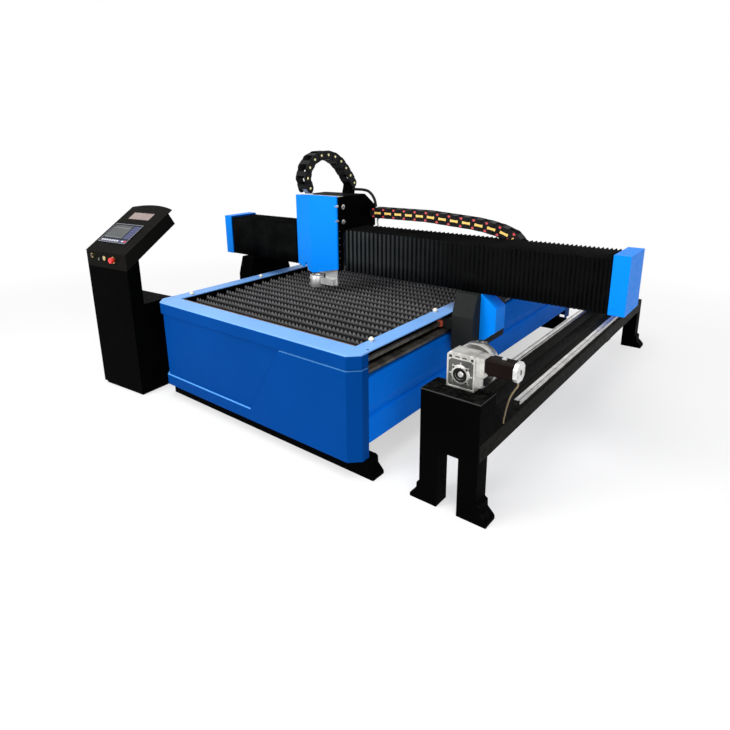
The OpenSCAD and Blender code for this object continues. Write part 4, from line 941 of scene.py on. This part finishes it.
class PLASMA_OT_long_chain(bpy.types.Operator):
    """Long drag chain behind the gantry, with cream bars and red joint pads"""
    bl_idname = "plasma.long_chain"
    bl_label = "Long drag chain"

    def execute(self, context):
        ahead = RIGHT
        pins = pin_places(X_START, X_HEADINGS, X_LINK, ahead)
        turn_x = pins[UPPER_LINKS].x
        upper_reach = turn_x + (turn_x - pins[0].x)
        lower_reach = turn_x + (turn_x - pins[-1].x)
        runs = (
            ("upper", range(UPPER_LINKS), upper_reach, pins[0].x),
            ("lower", range(UPPER_LINKS, len(X_HEADINGS)), pins[-1].x, lower_reach))
        for name, links, start_x, end_x in runs:
            parts = {finish: bmesh.new() for finish in ("chain", "chain_bar", "chain_joint")}
            for index in links:
                place = link_frame(pins[index], X_HEADINGS[index], ahead)
                chain_link(parts["chain"], place, X_LINK, X_CHAIN_W)
                self.inlays(parts, place)
            for finish, bm in parts.items():
                piece = mesh_piece(f"x_{finish}_{name}", bm, finish)
                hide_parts("x_chain")
                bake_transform(piece)
        return {"FINISHED"}

    @staticmethod
    def inlays(parts, place):
        """Cream bar with swollen ends along each link, and red pads about its pin, on both sides."""
        half, points = X_LINK * 0.32, 24
        bar = []
        for step in range(points):
            angle = 2 * math.pi * step / points
            swell = 7 + 4 * abs(math.cos(angle)) ** 3
            share = min(1.0, 3 * abs(math.sin(angle)))
            bar.append((half * math.cos(angle), math.copysign(swell * share, math.sin(angle))))
        for side in (-1, 1):
            face = side_face(place, X_CHAIN_W, side)
            prism(parts["chain_bar"], bar, moved(face, X_LINK * 0.5 - 8, 0, -0.6), 1.9)
            for z in (-1, 1):
                pad = [(-8, z * 6), (8, z * 6), (11, z), (3, -z * 9), (-3, -z * 9), (-11, z)]
                prism(parts["chain_joint"], pad, moved(face, -2, z * X_LINK * 0.29, -0.6), 1.8)


class PLASMA_OT_lifter_chain(bpy.types.Operator):
    """Arched drag chain of the torch lifter, with cream dots"""
    bl_idname = "plasma.lifter_chain"
    bl_label = "Lifter drag chain"

    def execute(self, context):
        ahead = BACK
        pins = pin_places(Z_START, Z_HEADINGS, Z_LINK, ahead)
        headings = Z_HEADINGS + Z_HEADINGS[-1:]
        places = [link_frame(pin, heading, ahead) for pin, heading in zip(pins, headings)]
        parts = {finish: bmesh.new() for finish in ("chain", "chain_dot")}
        for place in places[:-1]:
            chain_link(parts["chain"], place, Z_LINK, Z_CHAIN_W)
        dot = [(8.5, 0.2), (8.5, 1.6), (7, 2.4), (3, 2.6)]
        for place in places:
            for side in (-1, 1):
                lathe(parts["chain_dot"], side_face(place, Z_CHAIN_W, side), dot, 20)
        for finish, bm in parts.items():
            piece = mesh_piece(f"z_{finish}", bm, finish)
            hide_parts("z_chain")
            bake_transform(piece)
        return {"FINISHED"}


# Leads

def smooth_route(points, count):
    """Points spread evenly along a smooth line through the given ones."""
    per_span = 16
    dense = []
    for index in range(len(points) - 1):
        before = points[max(index - 1, 0)]
        here, there = points[index], points[index + 1]
        after = points[min(index + 2, len(points) - 1)]
        for step in range(per_span):
            t = step / per_span
            dense.append(0.5 * (
                2 * here + (there - before) * t + (2 * before - 5 * here + 4 * there - after) * t * t
                + (3 * here - before - 3 * there + after) * t ** 3))
    dense.append(points[-1])
    lengths = [0.0]
    for near, far in zip(dense, dense[1:]):
        lengths.append(lengths[-1] + (far - near).length)
    route, index = [], 0
    for step in range(count):
        goal = lengths[-1] * step / (count - 1)
        while index < len(dense) - 2 and lengths[index + 1] < goal:
            index += 1
        share = (goal - lengths[index]) / max(lengths[index + 1] - lengths[index], 1e-9)
        route.append(dense[index].lerp(dense[index + 1], min(max(share, 0.0), 1.0)))
    return route


class PLASMA_OT_leads(bpy.types.Operator):
    """Motor cable of the rotary axis and the hose behind the torch carriage"""
    bl_idname = "plasma.leads"
    bl_label = "Leads"

    def execute(self, context):
        cap, cap_low = middle("motor_caps"), low("motor_caps")
        under = Vector((cap_low.x, cap.y, cap_low.z))
        side = Vector((cap_low.x, cap.y, cap.z))
        deck = Vector((high("rotary_beams").x, cap.y, low("rotary_rails").z))
        cable = [
            off(under, 10, 0, -0.2), off(under, 10, 0, -24),
            off(side, -6, 9, -95), off(side, -31, 31, -140), off(side, -53, 58, -189),
            off(deck, 19, 91, 102), off(deck, 3, 117, 53), off(deck, -5.5, 130, 30),
            off(deck, -8, 134, 15), off(deck, -8, 134, 0.2)]
        self.lead("motor_cable_lead", "motor_cable", cable, 4 * MM, "tan_lead", "table")
        housing = high("carriage_housing")
        bracket = off((Z_START.x, housing.y, housing.z), Z_CHAIN_W / 2 - 8.6, 0, 0)
        link = Vector((CARRIAGE_RIGHT, X_START.y, GANTRY_TOP))
        hose = [
            off(bracket, 0.2, -7, 17), off(bracket, 36, -7, 17),
            off(housing, -110, -6, 16), off(housing, -65, -6, 8), off(housing, -25, -12, -14),
            off(link, 10, 12, 167), off(link, 27, 3, 132), off(link, 31, 0, 115)]
        self.lead("torch_hose_lead", "torch_hose", hose, 10.5 * MM, "rubber", "carriage")
        return {"FINISHED"}

    @staticmethod
    def lead(name, node, points, radius, finish, body):
        """Round lead along a smooth route."""
        route = smooth_route(points, 32)
        curve = bpy.data.curves.new(name, "CURVE")
        curve.dimensions = "3D"
        curve.bevel_depth = radius
        curve.bevel_resolution = 5
        curve.use_fill_caps = True
        spline = curve.splines.new("POLY")
        spline.points.add(len(route) - 1)
        for point, at in zip(spline.points, route):
            point.co = (*at, 1)
        curve.materials.append(FINISH[finish])
        piece = bpy.data.objects.new(name, curve)
        bpy.context.scene.collection.objects.link(piece)
        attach(piece, body)
        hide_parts(node)


# Rotary axis fittings

class PLASMA_OT_rotary_fittings(bpy.types.Operator):
    """Ribs, seal and screws of the cast gearbox, and the fittings of its motor and rails"""
    bl_idname = "plasma.rotary_fittings"
    bl_label = "Rotary axis fittings"

    def execute(self, context):
        near, far = low("gearbox_housing"), high("gearbox_housing")
        boss = 8 * MM
        face = facing(FRONT, (CHUCK_AXIS.x, near.y + boss, CHUCK_AXIS.z))
        half = (CHUCK_AXIS.x - near.x) / MM
        self.casting(face, (-half, (near.z - CHUCK_AXIS.z) / MM, half, (far.z - CHUCK_AXIS.z) / MM))
        self.seal(face)
        self.motor()
        self.rail_screws()
        return {"FINISHED"}

    @staticmethod
    def casting(face, edges):
        """Collar and ribs about the hub, corner lugs and their screws, on a face with the given edges."""
        left, below, right, above = edges
        lugs = [moved(turned(face, 45 + 90 * turn), x=47) for turn in range(4)]
        bm = bmesh.new()
        collar = [(49, -1), (49, 4), (45, 6), (43, 10), (37, 11), (36, 9), (36, -1)]
        lathe(bm, face, collar, 40, closed=False)
        for degrees in (0, 45, 90, 135, 180, 225, 315):
            prism(bm, rectangle(46, -3, 61, 3), moved(turned(face, degrees), z=-1), 5)
        for lug in lugs:
            lathe(bm, lug, [(8, -1), (8, 7), (7, 8)], 16)
        mesh_piece("gearbox_ribs", bm, "gearbox", "table", 40)
        # Dark plate with a raised border inside the face's edges: painted shade standing for the recess
        # between the ribs
        bm = bmesh.new()
        foot = moved(face, z=-0.5)
        outer, inner = [
            cut_rectangle(*inset((left, below, right, above - 25), gap), 12) for gap in (9, 12)]
        prism(bm, outer, foot, 1.1)
        ring(bm, outer, inner, foot, 1.8)
        mesh_piece("gearbox_recess_shade", bm, "recess_shade", "table", 40)
        bm = bmesh.new()
        for lug in lugs:
            screw_head(bm, moved(lug, z=8), 5, 3)
        for y in (below + 16, above - 24):
            for x in (left + 17, right - 17):
                lathe(bm, moved(face, x, y), [(7.5, -1), (7.5, 0.6), (6.5, 1.0), (4, 0.4)], 18)
        for x in (-20, 16):
            prism(bm, oval(24, 6), moved(face, x, above - 22), 0.8)
        mesh_piece("gearbox_recesses", bm, "dark_screw", "table", 40)

    @staticmethod
    def seal(face):
        """Black lip seal in the hub, and the shaft's end inside it."""
        bm = bmesh.new()
        lathe(bm, face, [
            (36, 7), (35.5, 9.5), (32, 10.6), (27, 10.2), (25, 8.6), (23.5, 6), (20, 5.4), (17, 2), (15, -6)],
            40, closed=False)
        mesh_piece("gearbox_seal", bm, "rubber", "table", 40)
        bm = bmesh.new()
        lathe(bm, face, [(15, -10), (15, 3), (12.5, 5), (6, 5), (5, 2)], 32)
        mesh_piece("gearbox_shaft_end", bm, "turned", "table", 30)

    @staticmethod
    def motor():
        """Connector on the motor, slot and screws of its end cap."""
        cap = middle("motor_caps")
        end = Vector((high("motor_caps").x, cap.y, cap.z))
        bm = bmesh.new()
        plug = off((low("motor_caps").x, cap.y, high("rotary_motor").z), -62, 0, 0)
        box(bm, plug, (-10, 0, -1), (10, 16, 6), 2)
        box(bm, plug, (-6, 3, 5), (6, 12, 9), 1)
        mesh_piece("motor_connector", bm, "white_keys", "table")
        bm = bmesh.new()
        face = turned(facing(RIGHT, end), 180)
        prism(bm, oval(26, 12), face, 0.6)
        ring(bm, oval(26, 12), oval(23, 9), face, 1.2)
        mesh_piece("motor_end_slot", bm, "dark_screw", "table")
        bm = bmesh.new()
        for y in (-32, 32):
            for z in (-12, 12):
                screw_head(bm, facing(RIGHT, off(end, 0, y, z)), 4, 3)
        mesh_piece("motor_end_screws", bm, "screw", "table")

    @staticmethod
    def rail_screws():
        """Dark counterbores with their screws along both guide rails."""
        near, far = low("rotary_rails"), high("rotary_rails")
        pitch = 120 * MM
        bm = bmesh.new()
        for x in (near.x + RAIL_HALF, far.x - RAIL_HALF):
            for step in range(int((far.y - near.y) / pitch)):
                place = facing(UP, (x, near.y + (step + 0.5) * pitch, far.z))
                lathe(bm, place, [(7, -0.5), (7, 0.3), (6, 0.3), (5.5, -0.3)], 16)
        mesh_piece("rotary_rail_screws", bm, "dark_screw", "table")


# Carriage fittings

class PLASMA_OT_carriage_fittings(bpy.types.Operator):
    """Bolts on the carriage's side, its lid strip, latches of its cover and screws of the torch clamp"""
    bl_idname = "plasma.carriage_fittings"
    bl_label = "Carriage fittings"

    def execute(self, context):
        near = low("carriage_housing")
        corner = Vector((near.x, near.y, high("carriage_housing").z))
        width = (CARRIAGE_RIGHT - near.x) / MM
        self.bolts(corner.z)
        self.lid(corner, width)
        self.latches(off(corner, width, 0, 0))
        self.cable_hook()
        self.clamp_screws()
        return {"FINISHED"}

    @staticmethod
    def bolts(top):
        """Two large bolts on washers, and a row of small screws."""
        washers, bolts = bmesh.new(), bmesh.new()
        for drop in (73, 178):
            place = facing(RIGHT, off((CARRIAGE_RIGHT, GANTRY_FRONT, top), 0, -3, -drop))
            lathe(washers, place, [(18, -0.2), (18, 2.0), (17, 2.6), (11, 2.6), (10.5, 0.4)], 32)
            screw_head(bolts, moved(place, z=0.6), 9, 6)
        mesh_piece("carriage_washers", washers, "screw", "carriage")
        mesh_piece("carriage_bolts", bolts, "jaw", "carriage")
        bm = bmesh.new()
        for step in range(6):
            at = off((CARRIAGE_RIGHT, GANTRY_FRONT, GANTRY_TOP), 0, -48, 48 * step - 262)
            screw_head(bm, facing(RIGHT, at), 4.5, 3)
        mesh_piece("carriage_side_screws", bm, "jaw", "carriage")

    @staticmethod
    def lid(corner, width):
        """Pale edge strip along the front of the housing's lid, with its two screws."""
        depth, thick = 64, 2
        bm = bmesh.new()
        box(bm, corner, (2, 2, -0.5), (width - 2, depth, thick), 0.8)
        for x in (24, width - 24):
            screw_head(bm, facing(UP, off(corner, x, depth / 2, thick)), 4, 2.5)
        mesh_piece("housing_lid", bm, "pale_sheet", "carriage")

    @staticmethod
    def latches(corner):
        """Two spring latches that hold the blue cover to the housing."""
        bm = bmesh.new()
        for drop in (62, 165):
            at = off(corner, 0, 0, -drop)
            box(bm, at, (-0.3, -12, -8), (3, 6, 8), 1)
            box(bm, at, (-0.3, -30, -4), (2.2, -11, 4), 0.8)
            lathe(bm, facing(RIGHT, off(at, 2.5, -3, 0)), [(3.4, 0), (3.4, 1.6), (2.4, 2.2)], 16)
        mesh_piece("cover_latches", bm, "screw", "carriage")

    @staticmethod
    def cable_hook():
        """Bent steel clip that holds the leads under the long chain's first link."""
        bm = bmesh.new()
        at = off(X_START, 20, 30 - X_CHAIN_W / 2, -LINK_ROUND * X_LINK)
        line = [(0, 0), (26, 0), (26, -4), (9, -4), (3, -34), (12, -62), (9, -64), (-3, -34), (0, -6)]
        prism(bm, line, turned(facing(UP, at), 90, "X"), 16)
        mesh_piece("cable_hook", bm, "screw", "carriage")

    @staticmethod
    def clamp_screws():
        """Pinch screws of the torch's split ring and screws of its slide plate."""
        near, far = low("torch_clamp"), high("torch_clamp")
        slide = Vector((high("torch_slide").x, low("carriage_plate").y, near.z))
        bm = bmesh.new()
        for z in (22, (far.z - near.z) / MM - 22):
            screw_head(bm, facing(FRONT, off(near, 14, 12, z)), 5, 6)
        for x in (-20, -92):
            screw_head(bm, facing(FRONT, off(slide, x, -20, 44)), 5, 4)
        mesh_piece("torch_clamp_screws", bm, "screw", "torch")


# Bed fittings

class PLASMA_OT_bed_fittings(bpy.types.Operator):
    """Rusty landing bar, rim holes and the limit switch in the right recess"""
    bl_idname = "plasma.bed_fittings"
    bl_label = "Bed fittings"

    def execute(self, context):
        rim = high("top_rim")
        corner = off((low("slats").x, low("slats").y, low("top_rim").z), 0, -34, 0)
        self.landing_bar(corner, (high("slats").x - corner.x) / MM)
        bm = bmesh.new()
        for side in (-1, 1):
            for y in (corner.y, rim.y - 150 * MM):
                place = facing(UP, (side * (rim.x - 20 * MM), y, rim.z))
                lathe(bm, place, [(7, -0.4), (7, 0.5), (5.5, 0.7), (4, 0.2)], 18)
        mesh_piece("rim_holes", bm, "dark_screw", "table")
        self.limit_switch()
        return {"FINISHED"}

    @staticmethod
    def landing_bar(corner, width):
        """Flat bar in three lengths along the front of the slats, with two screws in each length."""
        bm = bmesh.new()
        lengths = 3
        each = width / lengths
        for count in range(lengths):
            left = count * each
            box(bm, corner, (left, 0, 0), (left + each - 1, 22, 2), 0.6)
            for share in (0.1, 0.9):
                screw_head(bm, facing(UP, off(corner, left + share * each, 11, 2)), 4, 2)
        mesh_piece("landing_bar", bm, "rust", "table")

    @staticmethod
    def limit_switch():
        """Red limit switch on the right rail's wall, with its cover and roller arm."""
        at = off((high("bed_frame").x, 0.80, low("top_rim").z), 0, 0, -62)
        bm = bmesh.new()
        box(bm, at, (-0.3, -16, -20), (24, 16, 20), 2)
        box(bm, at, (23, -13, -17), (26, 13, 13), 1)
        for y in (-9, 9):
            screw_head(bm, facing(RIGHT, off(at, 26, y, -2)), 2.5, 1)
        mesh_piece("limit_switch", bm, "orange", "table")
        bm = bmesh.new()
        box(bm, at, (8, -3, 18), (14, 3, 34), 1)
        lathe(bm, facing(RIGHT, off(at, 7, 0, 36)), [(6, 0), (6.5, 1), (6.5, 7), (6, 8)], 20)
        mesh_piece("limit_roller", bm, "screw", "table")


# Console fittings

# Left, bottom, right and top edges of the control panel, of its screen and of the bare plate above it
CONTROLS = (-428, 98, -105, 302)
SCREEN = (-415, 155, -209, 262)
PLATE = (-362, 366, -126, 440)
# The row of pale keys has a gap and ends with a red one
KEYS = 10
FIRST_KEY = (-411.5, 116, -388.5, 131)
KEY_PITCH = 29.5
GAP_KEY = 7
RED_KEY = 9


class PLASMA_OT_console_fittings(bpy.types.Operator):
    """Light border, screen frame, pale keys and bare plate of the console's slanted panel"""
    bl_idname = "plasma.console_fittings"
    bl_label = "Console fittings"

    def execute(self, context):
        bm = bmesh.new()
        border(bm, inset(CONTROLS, 1), 4, moved(PANEL, z=9.8), 0.8)
        mesh_piece("panel_border", bm, "pale_line", "table")
        bm = bmesh.new()
        border(bm, SCREEN, 7, moved(PANEL, z=6.4), 0.9)
        mesh_piece("screen_frame", bm, "screen_edge", "table")
        self.key_caps()
        bm = bmesh.new()
        on_head = moved(PANEL, z=3.9)
        prism(bm, rectangle(*PLATE), on_head, 1.2)
        border(bm, PLATE, 4, on_head, 1.9)
        mesh_piece("bare_plate", bm, "plate", "table")
        return {"FINISHED"}

    @staticmethod
    def key_caps():
        """Row of stepped key caps below the screen."""
        pale, red = bmesh.new(), bmesh.new()
        for step in range(KEYS):
            if step == GAP_KEY:
                continue
            place = moved(PANEL, x=KEY_PITCH * step, z=6.9)
            for by, rise in ((0, 0.8), (2, 1.3)):
                cap = cut_rectangle(*inset(FIRST_KEY, by), 2)
                prism(red if step == RED_KEY else pale, cap, place, rise)
        mesh_piece("pale_key_caps", pale, "white_keys", "table")
        mesh_piece("red_key_cap", red, "red", "table")


# Sidebar and registration

class PLASMA_PT_panel(bpy.types.Panel):
    """Lists the settings and the steps that dress the table"""
    bl_idname = "PLASMA_PT_panel"
    bl_label = "Plasma Table"
    bl_space_type = "VIEW_3D"
    bl_region_type = "UI"
    bl_category = "Plasma Table"

    def draw(self, context):
        column = self.layout.column()
        for settings in (context.scene.plasma_paint, context.scene.plasma_trim, context.scene.plasma_stage):
            for label in settings.__annotations__:
                column.prop(settings, label)
        for step in STEPS:
            column.operator(step.bl_idname)


STEPS = (
    PLASMA_OT_stage, PLASMA_OT_finishes, PLASMA_OT_leads, PLASMA_OT_bellows, PLASMA_OT_long_chain,
    PLASMA_OT_lifter_chain, PLASMA_OT_rotary_fittings, PLASMA_OT_carriage_fittings, PLASMA_OT_bed_fittings,
    PLASMA_OT_console_fittings,
)
SETTINGS = (
    ("plasma_paint", PaintSettings), ("plasma_trim", TrimSettings), ("plasma_stage", StageSettings),
)


def register():
    for label, settings in SETTINGS:
        bpy.utils.register_class(settings)
        setattr(bpy.types.Scene, label, PointerProperty(type=settings))
    for step in STEPS:
        bpy.utils.register_class(step)
    bpy.utils.register_class(PLASMA_PT_panel)


def unregister():
    bpy.utils.unregister_class(PLASMA_PT_panel)
    for step in reversed(STEPS):
        bpy.utils.unregister_class(step)
    for label, settings in reversed(SETTINGS):
        delattr(bpy.types.Scene, label)
        bpy.utils.unregister_class(settings)


def main():
    register()
    for step in STEPS:
        family, name = step.bl_idname.split(".")
        getattr(getattr(bpy.ops, family), name)()


if __name__ == "__main__":
    main()
